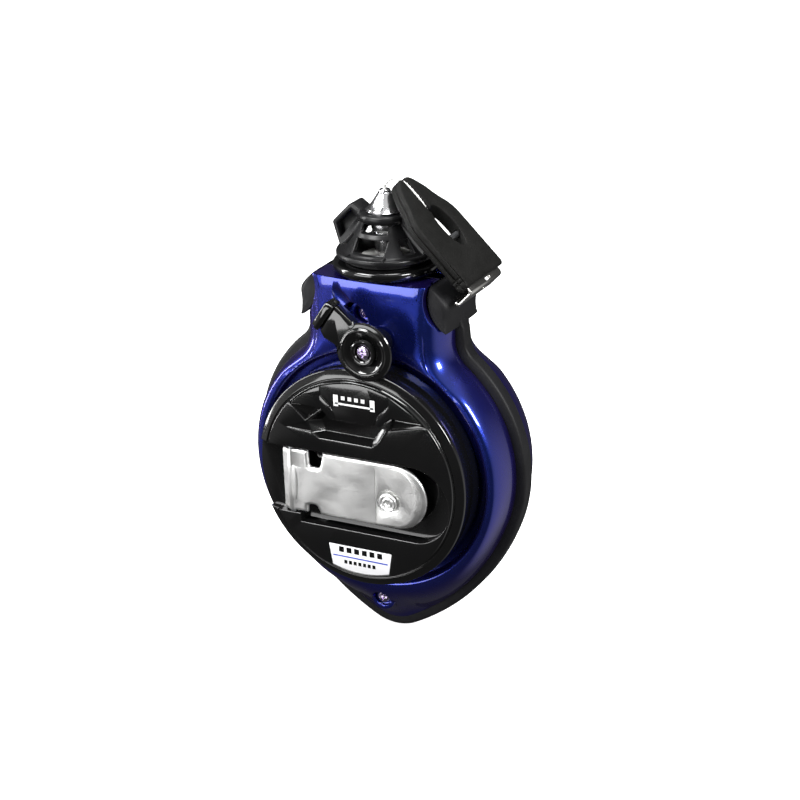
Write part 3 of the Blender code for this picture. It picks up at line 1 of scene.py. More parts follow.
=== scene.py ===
"""Looks for the chalk line reel: finished shells, band, crank, lever, nozzle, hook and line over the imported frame."""

import math

import bmesh
import bpy
from mathutils import Matrix, Vector


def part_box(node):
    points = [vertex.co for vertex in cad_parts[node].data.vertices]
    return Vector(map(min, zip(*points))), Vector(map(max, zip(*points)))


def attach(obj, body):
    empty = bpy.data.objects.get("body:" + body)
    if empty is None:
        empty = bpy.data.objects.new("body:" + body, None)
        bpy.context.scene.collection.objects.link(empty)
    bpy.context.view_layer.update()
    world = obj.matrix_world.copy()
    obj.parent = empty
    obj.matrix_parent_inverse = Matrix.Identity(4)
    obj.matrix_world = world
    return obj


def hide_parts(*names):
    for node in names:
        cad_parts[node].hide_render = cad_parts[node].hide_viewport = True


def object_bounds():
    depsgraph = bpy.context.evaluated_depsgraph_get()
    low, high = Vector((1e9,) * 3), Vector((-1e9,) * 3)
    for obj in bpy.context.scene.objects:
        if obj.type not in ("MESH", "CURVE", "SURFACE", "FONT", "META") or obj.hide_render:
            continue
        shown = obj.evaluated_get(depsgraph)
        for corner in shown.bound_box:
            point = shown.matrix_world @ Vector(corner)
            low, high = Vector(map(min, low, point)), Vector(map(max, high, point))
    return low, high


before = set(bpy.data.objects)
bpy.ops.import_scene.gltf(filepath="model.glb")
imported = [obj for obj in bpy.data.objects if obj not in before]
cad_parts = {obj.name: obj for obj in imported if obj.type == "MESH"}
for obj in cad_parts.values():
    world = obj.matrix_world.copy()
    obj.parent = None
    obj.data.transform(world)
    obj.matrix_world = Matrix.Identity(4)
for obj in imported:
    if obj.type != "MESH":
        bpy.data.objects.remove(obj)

CAD_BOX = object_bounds()

bl_info = {
    "name": "Chalk Line Reel",
    "version": (1, 0, 0),
    "blender": (4, 5, 0),
    "location": "View3D > Sidebar > Chalk Reel",
    "description": "Builds the finished pieces of a chalk line reel over its packed frame",
    "category": "Object",
}

MM = 0.001
GAP = 0.3 * MM
# The reel is laid out about its middle plane, which lies this far in front of the round back face.
MIDDLE_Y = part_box("line_spool")[1][1] - 13.4 * MM

# Case
BODY_RADIUS = 50.3 * MM
BELLY_RADIUS = 85.0 * MM
BELLY_START = math.radians(-20.0)
TIP_RADIUS = 14.0 * MM
NECK_HALF_WIDTH = 27.6 * MM
NECK_FILLET = 12.0 * MM
NECK_TOP = 70.0 * MM
WALL = 2.2 * MM
SEAM_Y = 3.3 * MM
CREST_Y = 16.8 * MM
NECK_FACE_Y = 15.2 * MM
NECK_BULGE = 1.8 * MM
NECK_FACE_HALF = 20.8 * MM
BACK_Y = 20.0 * MM
BACK_FACE_RADIUS = 33.0 * MM
WELL_RADIUS = 43.4 * MM
WELL_Y = 13.6 * MM
RING_HOLE = 29.8 * MM
SCOOP = (13.6 * MM, 34.7 * MM, 64.6 * MM)
BAND_STAND = 3.4 * MM
BAND_INNER = 3.0 * MM
UPPER_SCREW = (-3.7 * MM, 56.6 * MM)
LOWER_SCREW = (0.0, -53.0 * MM)

# Dial and arm
DIAL_RADIUS = 41.0 * MM
DIAL_RIM_Y = -26.3 * MM
DIAL_FACE_Y = -28.2 * MM
DIAL_FACE_RADIUS = 37.25 * MM
POCKET_FLOOR_Y = -22.9 * MM
POCKET_TOP_Z = 8.6 * MM
POCKET_LOW_Z = -20.0 * MM
ARM_HINGE = (-27.4 * MM, -26.6 * MM)
ARM_FACE_Y = -28.0 * MM
KNOB = (12.0 * MM, -6.2 * MM)

# Lever
LEVER = (5.5 * MM, 49.6 * MM)
LEVER_FACE_Y = -31.0 * MM
LEVER_ANGLE = math.radians(145.0)

# Hook
HOOK_APEX = Vector((7.2 * MM, 0.0, 103.2 * MM))
HOOK_LEAN = math.radians(-44.6)
HOOK_THICK = 4.6 * MM

FULL = 128  # steps round a large turned piece
SMALL = 48  # and round a small one
SAME_POINT = 1e-6
STAND_UP = Matrix(((1, 0, 0, 0), (0, 0, 1, 0), (0, 1, 0, 0), (0, 0, 0, 1)))  # swaps Y and Z


# ---------------------------------------------------------------- meshes


def smooth_shade(mesh, sharp):
    """Shades a mesh smooth but for its sharp edges."""
    mesh.shade_smooth()
    mesh.set_sharp_from_angle(angle=math.radians(sharp))


def placed(bm, name, sharp):
    """Ends a bmesh as an object of the scene."""
    mesh = bpy.data.meshes.new(name)
    bm.to_mesh(mesh)
    bm.free()
    smooth_shade(mesh, sharp)
    obj = bpy.data.objects.new(name, mesh)
    bpy.context.scene.collection.objects.link(obj)
    return obj


def to_object(bm, name):
    """Closes a bmesh's seams, turns its faces outward and places it."""
    bmesh.ops.remove_doubles(bm, verts=bm.verts, dist=SAME_POINT)
    bmesh.ops.recalc_face_normals(bm, faces=bm.faces)
    return placed(bm, name, 32.0)


def bake(obj, sharp=32.0):
    """Makes an object's modifiers part of its mesh and takes away the shapes that cut it."""
    bpy.context.view_layer.update()
    graph = bpy.context.evaluated_depsgraph_get()
    made = bpy.data.meshes.new_from_object(obj.evaluated_get(graph))
    tools = [m.object for m in obj.modifiers if m.type == "BOOLEAN"]
    obj.modifiers.clear()
    old = obj.data
    obj.data = made
    bpy.data.meshes.remove(old)
    for tool in tools:
        bpy.data.objects.remove(tool, do_unlink=True)
    smooth_shade(made, sharp)


def carve(obj, bm, operation="DIFFERENCE"):
    """Cuts a closed bmesh from an object, or joins it on."""
    tool = to_object(bm, "carving")
    tool.hide_render = True
    cut = obj.modifiers.new(operation.title(), "BOOLEAN")
    cut.operation = operation
    cut.solver = "EXACT"
    cut.object = tool


def soften(obj, width, segments=3, angle=30.0):
    """Rounds the edges sharper than an angle."""
    edge = obj.modifiers.new("Soft edges", "BEVEL")
    edge.width = width
    edge.segments = segments
    edge.limit_method = "ANGLE"
    edge.angle_limit = math.radians(angle)
    edge.use_clamp_overlap = False
    edge.miter_outer = "MITER_ARC"


def round_edges(obj, width, segments, angle, sharp=32.0):
    """Bakes the cuts, rounds the edges they leave, and bakes those too."""
    bake(obj)
    soften(obj, width, segments, angle)
    bake(obj, sharp)


def finish(obj, body, name, nodes=()):
    """Puts a piece in its place in the frame, on its body, with one of the finishes."""
    obj.data.transform(Matrix.Translation((0.0, MIDDLE_Y, 0.0)))
    obj.data.materials.clear()
    obj.data.materials.append(look(name))
    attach(obj, body)
    if nodes:
        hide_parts(*nodes)
    return obj


def mm(pairs, base=0.0):
    """Pairs in millimetres as metres, the second of each measured from a base."""
    return [(a * MM, base + b * MM) for a, b in pairs]


def arc(centre, radius, start, end, count):
    turns = [start + (end - start) * i / (count - 1) for i in range(count)]
    return [(centre[0] + radius * math.cos(a), centre[1] + radius * math.sin(a)) for a in turns]


def spun(profile, steps=FULL, axis="Y", centre=(0.0, 0.0, 0.0)):
    """Spins a closed profile of (radius, place along the axis) into a closed body."""
    bm = bmesh.new()
    along = Vector((0.0, 1.0, 0.0)) if axis == "Y" else Vector((0.0, 0.0, 1.0))
    start = [bm.verts.new(Vector((r, 0.0, 0.0)) + along * h) for r, h in profile]
    edges = [bm.edges.new(pair) for pair in zip(start, start[1:] + start[:1])]
    bmesh.ops.spin(
        bm, geom=start + edges, cent=(0.0, 0.0, 0.0), axis=along, angle=2.0 * math.pi, steps=steps, use_merge=True
    )
    bmesh.ops.remove_doubles(bm, verts=bm.verts, dist=SAME_POINT)
    spare = [e for e in bm.edges if all(v.co.cross(along).length < 1e-7 for v in e.verts)]
    bmesh.ops.delete(bm, geom=spare, context="EDGES_FACES")
    bmesh.ops.translate(bm, verts=bm.verts, vec=Vector(centre))
    return bm


def rod(radius, start, end, steps=SMALL, axis="Y", centre=(0.0, 0.0, 0.0)):
    """A solid cylinder between two places along its axis."""
    return spun([(0.0, start), (radius, start), (radius, end), (0.0, end)], steps, axis, centre)


def vertices(geometry):
    """The vertices among some mesh elements."""
    return [item for item in geometry if isinstance(item, bmesh.types.BMVert)]


def extrude(bm, outline, start, height):
    """Adds an outline of (x, z) points to a bmesh and extrudes it along Y."""
    face = bm.faces.new([bm.verts.new((x, start, z)) for x, z in outline])
    grown = bmesh.ops.extrude_face_region(bm, geom=[face])["geom"]
    bmesh.ops.translate(bm, verts=vertices(grown), vec=(0.0, height, 0.0))


def slab(outline, start, end):
    """A body of one outline between two places along Y."""
    bm = bmesh.new()
    extrude(bm, outline, start, end - start)
    bmesh.ops.recalc_face_normals(bm, faces=bm.faces)
    return bm


def at(spot):
    """An (x, z) place on the middle plane."""
    return (spot[0], 0.0, spot[1])


def block(low, high):
    """A box between two opposite corners."""
    (x0, y0, z0), (x1, y1, z1) = low, high
    return slab([(x0, z0), (x1, z0), (x1, z1), (x0, z1)], y0, y1)


def hull(points):
    """The convex body round some points."""
    bm = bmesh.new()
    corners = [bm.verts.new(point) for point in points]
    made = bmesh.ops.convex_hull(bm, input=corners)
    bmesh.ops.delete(bm, geom=vertices(made["geom_interior"]), context="VERTS")
    return bm


def loft(rings, closed=False):
    """Extrudes a first ring from place to place. A closed loft ends on its own first ring."""
    bm = bmesh.new()
    row = bmesh.ops.create_circle(bm, cap_ends=False, segments=len(rings[0]), radius=MM)["verts"]
    for vert, point in zip(row, rings[0]):
        vert.co = point
    first = list(row)
    edges = [bm.edges.get(pair) for pair in zip(row, row[1:] + row[:1])]
    for ring in rings[1:] + ([rings[0]] if closed else []):
        made = bmesh.ops.extrude_edge_only(bm, edges=edges)["geom"]
        fresh = set(vertices(made))
        row = [next(e.other_vert(v) for e in v.link_edges if e.other_vert(v) in fresh) for v in row]
        for vert, point in zip(row, ring):
            vert.co = point
        edges = [bm.edges.get(pair) for pair in zip(row, row[1:] + row[:1])]
    if not closed:
        bm.faces.new(first)
        bm.faces.new(row)
    bmesh.ops.remove_doubles(bm, verts=bm.verts, dist=SAME_POINT)
    bmesh.ops.recalc_face_normals(bm, faces=bm.faces)
    return bm


def curve_through(points, steps):
    """Points along a Catmull-Rom curve through a few points, as vectors."""
    knots = [Vector(p) for p in points]
    ends = [knots[0] * 2 - knots[1]] + knots + [knots[-1] * 2 - knots[-2]]
    made = []
    for a, b, c, d in zip(ends, ends[1:], ends[2:], ends[3:]):
        for i in range(steps):
            t = i / steps
            bend = (2 * a - 5 * b + 4 * c - d) * t * t
            made.append(0.5 * (2 * b + (c - a) * t + bend + (3 * b - a - 3 * c + d) * t**3))
    return made + [knots[-1]]


def rounded(pairs):
    """A smooth path through a few (x, z) points in millimetres."""
    return mm((p.x, p.y) for p in curve_through([(x, z, 0.0) for x, z in pairs], 3))


# ---------------------------------------------------------------- case outline


def half_outline(offset):
    """The right half of the case outline, from the tip to the top of the neck's fillet."""
    body = BODY_RADIUS + offset
    swing = BELLY_RADIUS - BODY_RADIUS
    belly_centre = (-swing * math.cos(BELLY_START), -swing * math.sin(BELLY_START))
    reach = BELLY_RADIUS - TIP_RADIUS
    tip_z = belly_centre[1] - math.sqrt(reach**2 - belly_centre[0] ** 2)
    tip_angle = math.atan2(tip_z - belly_centre[1], -belly_centre[0])
    side = NECK_HALF_WIDTH + offset
    fillet = NECK_FILLET - offset
    fillet_x = side + fillet
    fillet_angle = math.acos(fillet_x / (body + fillet))
    fillet_z = (body + fillet) * math.sin(fillet_angle)
    points = arc((0.0, tip_z), TIP_RADIUS + offset, -math.pi / 2, tip_angle, 9)[:-1]
    points += arc(belly_centre, BELLY_RADIUS + offset, tip_angle, BELLY_START, 26)[:-1]
    points += arc((0.0, 0.0), body, BELLY_START, fillet_angle, 42)[:-1]
    points += arc((fillet_x, fillet_z), fillet, fillet_angle + math.pi, math.pi, 14)
    return points


def case_outline(offset):
    """The whole closed outline, with a flat top whose corners are a little round."""
    half = half_outline(offset)
    side = NECK_HALF_WIDTH + offset
    top = NECK_TOP + offset
    start = half[-1][1]
    corner = 2.0 * MM
    half += [(side, start + (top - corner - start) * i / 8.0) for i in range(1, 8)]
    half += arc((side - corner, top - corner), corner, 0.0, math.pi / 2.0, 6)
    half += [((side - corner) * (1.0 - i / 18.0), top) for i in range(1, 19)]
    return half + [(-x, z) for x, z in reversed(half[1:-1])]


def toward(point, radius):
    """The place on a circle about the dial axis that lies in a point's direction."""
    turn = math.atan2(point[0], point[1])
    return (radius * math.sin(turn), radius * math.cos(turn))


def round_ring(outline, radius, depth):
    """A circle with one point for each point of the outline, at a depth."""
    return [(x, depth, z) for x, z in (toward(point, radius) for point in outline)]


def smooth_step(value, low, high):
    """Eases from 0 at low to 1 at high."""
    t = min(1.0, max(0.0, (value - low) / (high - low)))
    return t * t * (3.0 - 2.0 * t)


def crest_ring(base, offset, radius, depth):
    """The ridge: a circle round the dial that opens into the side edges of the neck's face."""
    ring = []
    for x, z in base:
        half = NECK_FACE_HALF + offset
        face_x = max(-half, min(half, x * half / (NECK_HALF_WIDTH + offset)))
        bulge = NECK_BULGE * (1.0 - (face_x / half) ** 2)
        neck = (face_x, NECK_FACE_Y + offset + bulge, z)
        near_x, near_z = toward((x, z), radius)
        share = smooth_step(z, 33.0 * MM, 47.0 * MM)
        body = (near_x, depth, near_z)
        ring.append(tuple(b + (n - b) * share for b, n in zip(body, neck)))
    return ring


def flank_rings(base, crest, offset, count):
    """The curved flank from the seam to the crest, fuller at the tip of the case."""
    rings = []
    for step in range(count):
        turn = math.radians(90.0) * step / count
        ring = []
        for (x, z), (cx, cy, cz) in zip(base, crest):
            nose = min(1.0, max(0.0, (math.hypot(x, z) - BODY_RADIUS - offset) / (12.0 * MM)))
            power = (2.0 - 0.8 * nose) / 2.0 if z < 0.0 else 1.0
            inward = (1.0 - math.cos(turn)) ** power if step else 0.0
            rise = math.sin(turn) ** (1.0 / power) if step else 0.0
            ring.append((x + (cx - x) * inward, SEAM_Y + (cy - SEAM_Y) * rise, z + (cz - z) * inward))
        rings.append(ring)
    return rings


def between(first, second, share):
    """A ring part of the way from one ring to another."""
    return [tuple(a + (b - a) * share for a, b in zip(p, q)) for p, q in zip(first, second)]


def case_half_rings(offset, radius, depth, face_radius, face_y, flanks=10, spans=6):
    """The rings of half a case, from the seam over the crest to the edge of its round face."""
    base = case_outline(offset)
    crest = crest_ring(base, offset, radius, depth)
    edge = round_ring(base, face_radius, face_y)
    rings = flank_rings(base, crest, offset, flanks)
    rings.append(crest)
    for i in range(1, spans):
        rings.append(between(crest, edge, i / spans))
    rings.append(edge)
    return rings


def turned_over(rings):
    """The same rings on the other side of the middle plane."""
    return [[(x, -y, z) for x, y, z in ring] for ring in rings]


# ---------------------------------------------------------------- materials


def group(name, outputs, inputs):
    """An empty shader group with its sockets, and its input and output nodes."""
    made = bpy.data.node_groups.new(name, "ShaderNodeTree")
    for socket, kind, default in inputs:
        item = made.interface.new_socket(name=socket, in_out="INPUT", socket_type=kind)
        if default is not None:
            item.default_value = default
    for socket, kind in outputs:
        made.interface.new_socket(name=socket, in_out="OUTPUT", socket_type=kind)
    return made, made.nodes.new("NodeGroupInput"), made.nodes.new("NodeGroupOutput")


def add_node(tree, kind, **values):
    """A shader node with the given values on its inputs."""
    node = tree.nodes.new("ShaderNode" + kind)
    for socket, value in values.items():
        node.inputs[socket.replace("_", " ")].default_value = value
    return node


def join(tree, *links):
    """Links sockets, each link given as (node, output, node, input)."""
    for source, output, target, socket in links:
        tree.links.new(source.outputs[output], target.inputs[socket])


def tone_group():
    """Two colours mixed in soft clouds."""
    made, start, end = group(
        "Cloudy tone",
        [("Color", "NodeSocketColor"), ("Mask", "NodeSocketFloat")],
        [
            ("Vector", "NodeSocketVector", None),
            ("First", "NodeSocketColor", (0.5, 0.5, 0.5, 1.0)),
            ("Second", "NodeSocketColor", (0.4, 0.4, 0.4, 1.0)),
            ("Scale", "NodeSocketFloat", 60.0),
        ],
    )
    noise = add_node(made, "TexNoise", Detail=4.0, Roughness=0.6)
    ramp = add_node(made, "MapRange", From_Min=0.35, From_Max=0.68)
    mix = add_node(made, "Mix")
    mix.data_type = "RGBA"
    join(
        made,
        (start, "Vector", noise, "Vector"), (start, "Scale", noise, "Scale"), (noise, "Fac", ramp, "Value"),
        (ramp, "Result", mix, "Factor"), (start, "First", mix, "A"), (start, "Second", mix, "B"),
        (mix, "Result", end, "Color"), (ramp, "Result", end, "Mask"),
    )
    return made


def grain_group():
    """A pebbled or brushed grain: a height, and a roughness that follows it."""
    made, start, end = group(
        "Surface grain",
        [("Height", "NodeSocketFloat"), ("Roughness", "NodeSocketFloat")],
        [
            ("Vector", "NodeSocketVector", None),
            ("Scale", "NodeSocketFloat", 900.0),
            ("Smooth", "NodeSocketFloat", 0.3),
            ("Rough", "NodeSocketFloat", 0.5),
        ],
    )
    fine = add_node(made, "TexNoise", Detail=3.0, Roughness=0.55)
    wide = add_node(made, "TexNoise", Detail=2.0)
    share = made.nodes.new("ShaderNodeMath")
    share.operation = "MULTIPLY"
    share.inputs[1].default_value = 0.07
    ramp = add_node(made, "MapRange", From_Min=0.3, From_Max=0.7)
    join(
        made,
        (start, "Vector", fine, "Vector"), (start, "Vector", wide, "Vector"), (start, "Scale", fine, "Scale"),
        (start, "Scale", share, 0), (share, "Value", wide, "Scale"), (wide, "Fac", ramp, "Value"),
        (start, "Smooth", ramp, "To Min"), (start, "Rough", ramp, "To Max"),
        (fine, "Fac", end, "Height"), (ramp, "Result", end, "Roughness"),
    )
    return made


GROUPS = {}


def shared(name):
    """A shader group, made when it is first asked for."""
    if name not in GROUPS:
        GROUPS[name] = {"tone": tone_group, "grain": grain_group}[name]()
    return GROUPS[name]


def add_group(tree, name, vector, **values):
    """Puts a shared group in a tree, fed with coordinates and values."""
    node = tree.nodes.new("ShaderNodeGroup")
    node.node_tree = shared(name)
    tree.links.new(vector, node.inputs["Vector"])
    for socket, value in values.items():
        node.inputs[socket].default_value = value
    return node


def surface(
    name, first, second, smooth, rough, metallic=0.0, grain=900.0, bump=0.15, cloud=60.0, stretch=(1.0, 1.0, 1.0), **sockets
):
    """A Principled material whose colour, roughness and height come from the shared groups."""
    if name in bpy.data.materials:
        return bpy.data.materials[name]
    made = bpy.data.materials.new(name)
    made.use_nodes = True
    tree = made.node_tree
    shader = tree.nodes["Principled BSDF"]
    shader.inputs["Metallic"].default_value = metallic
    for socket, value in sockets.items():
        shader.inputs[socket.replace("_", " ")].default_value = value
    spot = tree.nodes.new("ShaderNodeTexCoord")
    turn = tree.nodes.new("ShaderNodeMapping")
    turn.inputs["Scale"].default_value = stretch
    tree.links.new(spot.outputs["Object"], turn.inputs["Vector"])
    tone = add_group(tree, "tone", spot.outputs["Object"], First=(*first, 1.0), Second=(*second, 1.0), Scale=cloud)
    pores = add_group(tree, "grain", turn.outputs["Vector"], Scale=grain, Smooth=smooth, Rough=rough)
    height = tree.nodes.new("ShaderNodeBump")
    height.inputs["Strength"].default_value = bump
    height.inputs["Distance"].default_value = 0.00025
    tree.links.new(pores.outputs["Height"], height.inputs["Height"])
    tree.links.new(height.outputs["Normal"], shader.inputs["Normal"])
    tree.links.new(tone.outputs["Color"], shader.inputs["Base Color"])
    tree.links.new(pores.outputs["Roughness"], shader.inputs["Roughness"])
    return made


def candy_paint(colour, edge):
    """Metallic lacquer: the flake's colour deepens to violet where the surface turns away, under a clear coat."""
    made = surface(
        "candy lacquer", colour, [c * 0.9 for c in colour], 0.24, 0.3, metallic=0.9, grain=2600.0, bump=0.02,
        cloud=24.0, Coat_Weight=1.0, Coat_Roughness=0.03, Coat_IOR=1.5,
    )
    tree = made.node_tree
    if tree.nodes.get("Flip"):
        return made
    shader = tree.nodes["Principled BSDF"]
    facing = tree.nodes.new("ShaderNodeLayerWeight")
    facing.inputs["Blend"].default_value = 0.45
    flip = tree.nodes.new("ShaderNodeMix")
    flip.name = "Flip"
    flip.data_type = "RGBA"
    flip.inputs["B"].default_value = (*edge, 1.0)
    tone = shader.inputs["Base Color"].links[0].from_socket
    tree.links.new(facing.outputs["Facing"], flip.inputs["Factor"])
    tree.links.new(tone, flip.inputs["A"])
    tree.links.new(flip.outputs["Result"], shader.inputs["Base Color"])
    return made


# Each finish: its material's name, its two colours, its least and greatest roughness, and surface's other values.
FINISHES = {
    "gloss": (
        "polished black", (0.0035, 0.0035, 0.0037), (0.005, 0.005, 0.005), 0.1, 0.14,
        dict(grain=700.0, bump=0.004, cloud=40.0, Coat_Weight=0.6, Coat_Roughness=0.05),
    ),
    "stamped": (
        "stamped steel", (0.93, 0.93, 0.92), (0.86, 0.86, 0.85), 0.34, 0.46,
        dict(metallic=1.0, grain=2200.0, bump=0.16, cloud=120.0, stretch=(0.6, 1.0, 1.0)),
    ),
    "steel": (
        "ground steel", (0.56, 0.57, 0.59), (0.5, 0.51, 0.53), 0.22, 0.34,
        dict(metallic=1.0, grain=1400.0, bump=0.06, stretch=(1.0, 0.1, 1.0)),
    ),
    "claw": (
        "spring steel", (0.82, 0.81, 0.78), (0.7, 0.69, 0.66), 0.2, 0.32,
        dict(metallic=1.0, grain=1300.0, bump=0.06, stretch=(1.0, 0.15, 1.0)),
    ),
    "aluminium": (
        "turned aluminium", (0.90, 0.90, 0.91), (0.82, 0.82, 0.84), 0.16, 0.26,
        dict(metallic=1.0, grain=2600.0, bump=0.08, stretch=(0.2, 0.2, 1.0)),
    ),
    "screw": (
        "violet plating", (0.72, 0.62, 0.80), (0.60, 0.52, 0.74), 0.14, 0.24,
        dict(metallic=1.0, grain=1800.0, bump=0.05, cloud=500.0),
    ),
    "bronze": (
        "sintered bronze", (0.52, 0.33, 0.16), (0.42, 0.26, 0.12), 0.4, 0.55,
        dict(metallic=1.0, grain=2400.0, bump=0.2, cloud=400.0),
    ),
    "resin": ("gear resin", (0.74, 0.73, 0.68), (0.68, 0.67, 0.62), 0.4, 0.52, dict(grain=1200.0, bump=0.06)),
    "satin": (
        "satin black", (0.006, 0.006, 0.0065), (0.009, 0.009, 0.0095), 0.26, 0.36,
        dict(grain=1600.0, bump=0.06, Specular_IOR_Level=0.3),
    ),
    "felt": (
        "pressed felt", (0.55, 0.55, 0.52), (0.44, 0.44, 0.42), 0.9, 0.98,
        dict(grain=2200.0, bump=0.9, cloud=700.0, Sheen_Weight=0.4),
    ),
    "line": (
        "white line", (0.80, 0.80, 0.78), (0.66, 0.66, 0.64), 0.6, 0.75,
        dict(grain=4200.0, bump=0.4, cloud=1500.0, Sheen_Weight=0.25),
    ),
    "wound": (
        "chalked line", (0.30, 0.40, 0.78), (0.52, 0.58, 0.80), 0.85, 0.95,
        dict(grain=1400.0, bump=0.9, cloud=260.0, stretch=(0.3, 3.0, 0.3)),
    ),
    "mark": ("white print", (0.86, 0.86, 0.86), (0.80, 0.80, 0.80), 0.35, 0.45, dict(grain=1500.0, bump=0.03)),
    "label": (
        "label film", (0.90, 0.90, 0.92), (0.86, 0.86, 0.88), 0.28, 0.36,
        dict(grain=900.0, bump=0.03, cloud=200.0, Coat_Weight=0.4),
    ),
    "stripe": ("blue print", (0.02, 0.05, 0.42), (0.03, 0.06, 0.46), 0.3, 0.4, dict(grain=900.0, bump=0.03)),
}
LOOKS = {}


def look(name):
    """The reel's finishes, by plain names."""
    if name in LOOKS:
        return LOOKS[name]
    case = bpy.context.scene.reel_case
    if name == "lacquer":
        made = candy_paint(tuple(case.lacquer), tuple(case.lacquer_edge))
    elif name == "band":
        c = tuple(case.band)
        made = surface(
            "band elastomer", c, [v * 1.35 for v in c], 0.42, 0.55, grain=1500.0, bump=0.12, cloud=90.0,
            Specular_IOR_Level=0.2,
        )
    elif name == "hook":
        c = tuple(bpy.context.scene.reel_trim.hook)
        made = surface(
            "textured moulding", c, [v * 1.4 for v in c], 0.5, 0.66, grain=1900.0, bump=0.6, cloud=300.0,
            Specular_IOR_Level=0.14,
        )
    else:
        title, first, second, smooth, rough, values = FINISHES[name]
        made = surface(title, first, second, smooth, rough, **values)
    LOOKS[name] = made
    return made


# ---------------------------------------------------------------- settings


class ReelCaseSettings(bpy.types.PropertyGroup):
    lacquer: bpy.props.FloatVectorProperty(
        name="Lacquer", description="Colour of the metallic lacquer seen square on", subtype="COLOR", size=3,
        default=(0.012, 0.034, 0.30), min=0.0, max=1.0,
    )
    lacquer_edge: bpy.props.FloatVectorProperty(
        name="Lacquer at the edge", description="Colour the lacquer flips to as it turns away", subtype="COLOR", size=3,
        default=(0.055, 0.016, 0.25), min=0.0, max=1.0,
    )
    band: bpy.props.FloatVectorProperty(
        name="Band", description="Colour of the elastomer band", subtype="COLOR", size=3, default=(0.010, 0.010, 0.011),
        min=0.0, max=1.0,
    )
    edge_round: bpy.props.FloatProperty(
        name="Edge rounding", description="Rounding of the shells' cut edges", subtype="DISTANCE", unit="LENGTH",
        default=0.00035, min=0.0, max=0.002,
    )


class ReelTrimSettings(bpy.types.PropertyGroup):
    hook: bpy.props.FloatVectorProperty(
        name="Hook", description="Colour of the end hook's moulding", subtype="COLOR", size=3,
        default=(0.006, 0.006, 0.0056), min=0.0, max=1.0,
    )
    strand: bpy.props.FloatProperty(
        name="Strand radius", description="Radius of each of the line's three strands", subtype="DISTANCE",
        unit="LENGTH", default=0.00027, min=0.0001, max=0.001,
    )
    lay: bpy.props.FloatProperty(
        name="Lay length", description="Length of one full twist of the line", subtype="DISTANCE", unit="LENGTH",
        default=0.0042, min=0.001, max=0.02,
    )


class ReelStageSettings(bpy.types.PropertyGroup):
    key: bpy.props.FloatProperty(
        name="Key light", description="Power of the key light", unit="POWER", default=11.5, min=0.0
    )
    side: bpy.props.FloatProperty(
        name="Side light", description="Power of the right light", unit="POWER", default=8.0, min=0.0
    )
    floor: bpy.props.FloatVectorProperty(
        name="Floor", description="Colour of the floor", subtype="COLOR", size=3, default=(0.9, 0.9, 0.9), min=0.0,
        max=1.0,
    )
    glow: bpy.props.FloatProperty(
        name="Floor glow", description="How much the floor glows by itself", default=0.85, min=0.0, max=2.0
    )


# ---------------------------------------------------------------- case


def cut_case(shell, front):
    """The neck's mouth, the two scoops and, at the front, the sunk screws and the thumb mark."""
    carve(shell, rod(14.9 * MM, 60.0 * MM, 80.0 * MM, FULL, "Z"))
    radius, x, z = SCOOP
    for side in (-1.0, 1.0):
        carve(shell, rod(radius, -30.0 * MM, 30.0 * MM, FULL, "Y", (side * x, 0.0, z)))
    if not front:
        return
    for (x, z), seat, depth in ((UPPER_SCREW, -10.0, -14.8), (LOWER_SCREW, -10.9, -12.4)):
        carve(shell, rod(4.9 * MM, -3.6 * MM, depth * MM, SMALL, "Y", at((x, z))), "UNION")
        carve(shell, rod(3.3 * MM, -30.0 * MM, seat * MM, SMALL, "Y", at((x, z))))
        carve(shell, rod(1.5 * MM, -30.0 * MM, 0.0, 24, "Y", at((x, z))))
    carve(shell, rod(2.6 * MM, -30.0 * MM, 0.0, SMALL, "Y", at(LEVER)))
    # The upper sink widens into an oblong mouth, and a shallow thumb mark lies beside it.
    ends = [(UPPER_SCREW[0] + dx * MM, UPPER_SCREW[1] + dz * MM) for dx, dz in ((-1.6, 1.4), (0.4, -1.2))]
    mouth = []
    for x, z in ends:
        for px, pz in arc((x, z), 3.9 * MM, 0.0, 2.0 * math.pi, 33)[:-1]:
            mouth += [(px, -30.0 * MM, pz), (px, -13.4 * MM, pz)]
    carve(shell, hull(mouth))
    thumb = bmesh.new()
    bmesh.ops.create_uvsphere(thumb, u_segments=SMALL, v_segments=32, radius=1.0)
    bmesh.ops.scale(thumb, verts=thumb.verts, vec=(3.1 * MM, 1.7 * MM, 6.6 * MM))
    bmesh.ops.rotate(thumb, verts=thumb.verts, cent=(0, 0, 0), matrix=Matrix.Rotation(math.radians(-42.0), 3, "Y"))
    bmesh.ops.translate(thumb, verts=thumb.verts, vec=(-9.8 * MM, -17.4 * MM, 62.2 * MM))
    carve(shell, thumb)


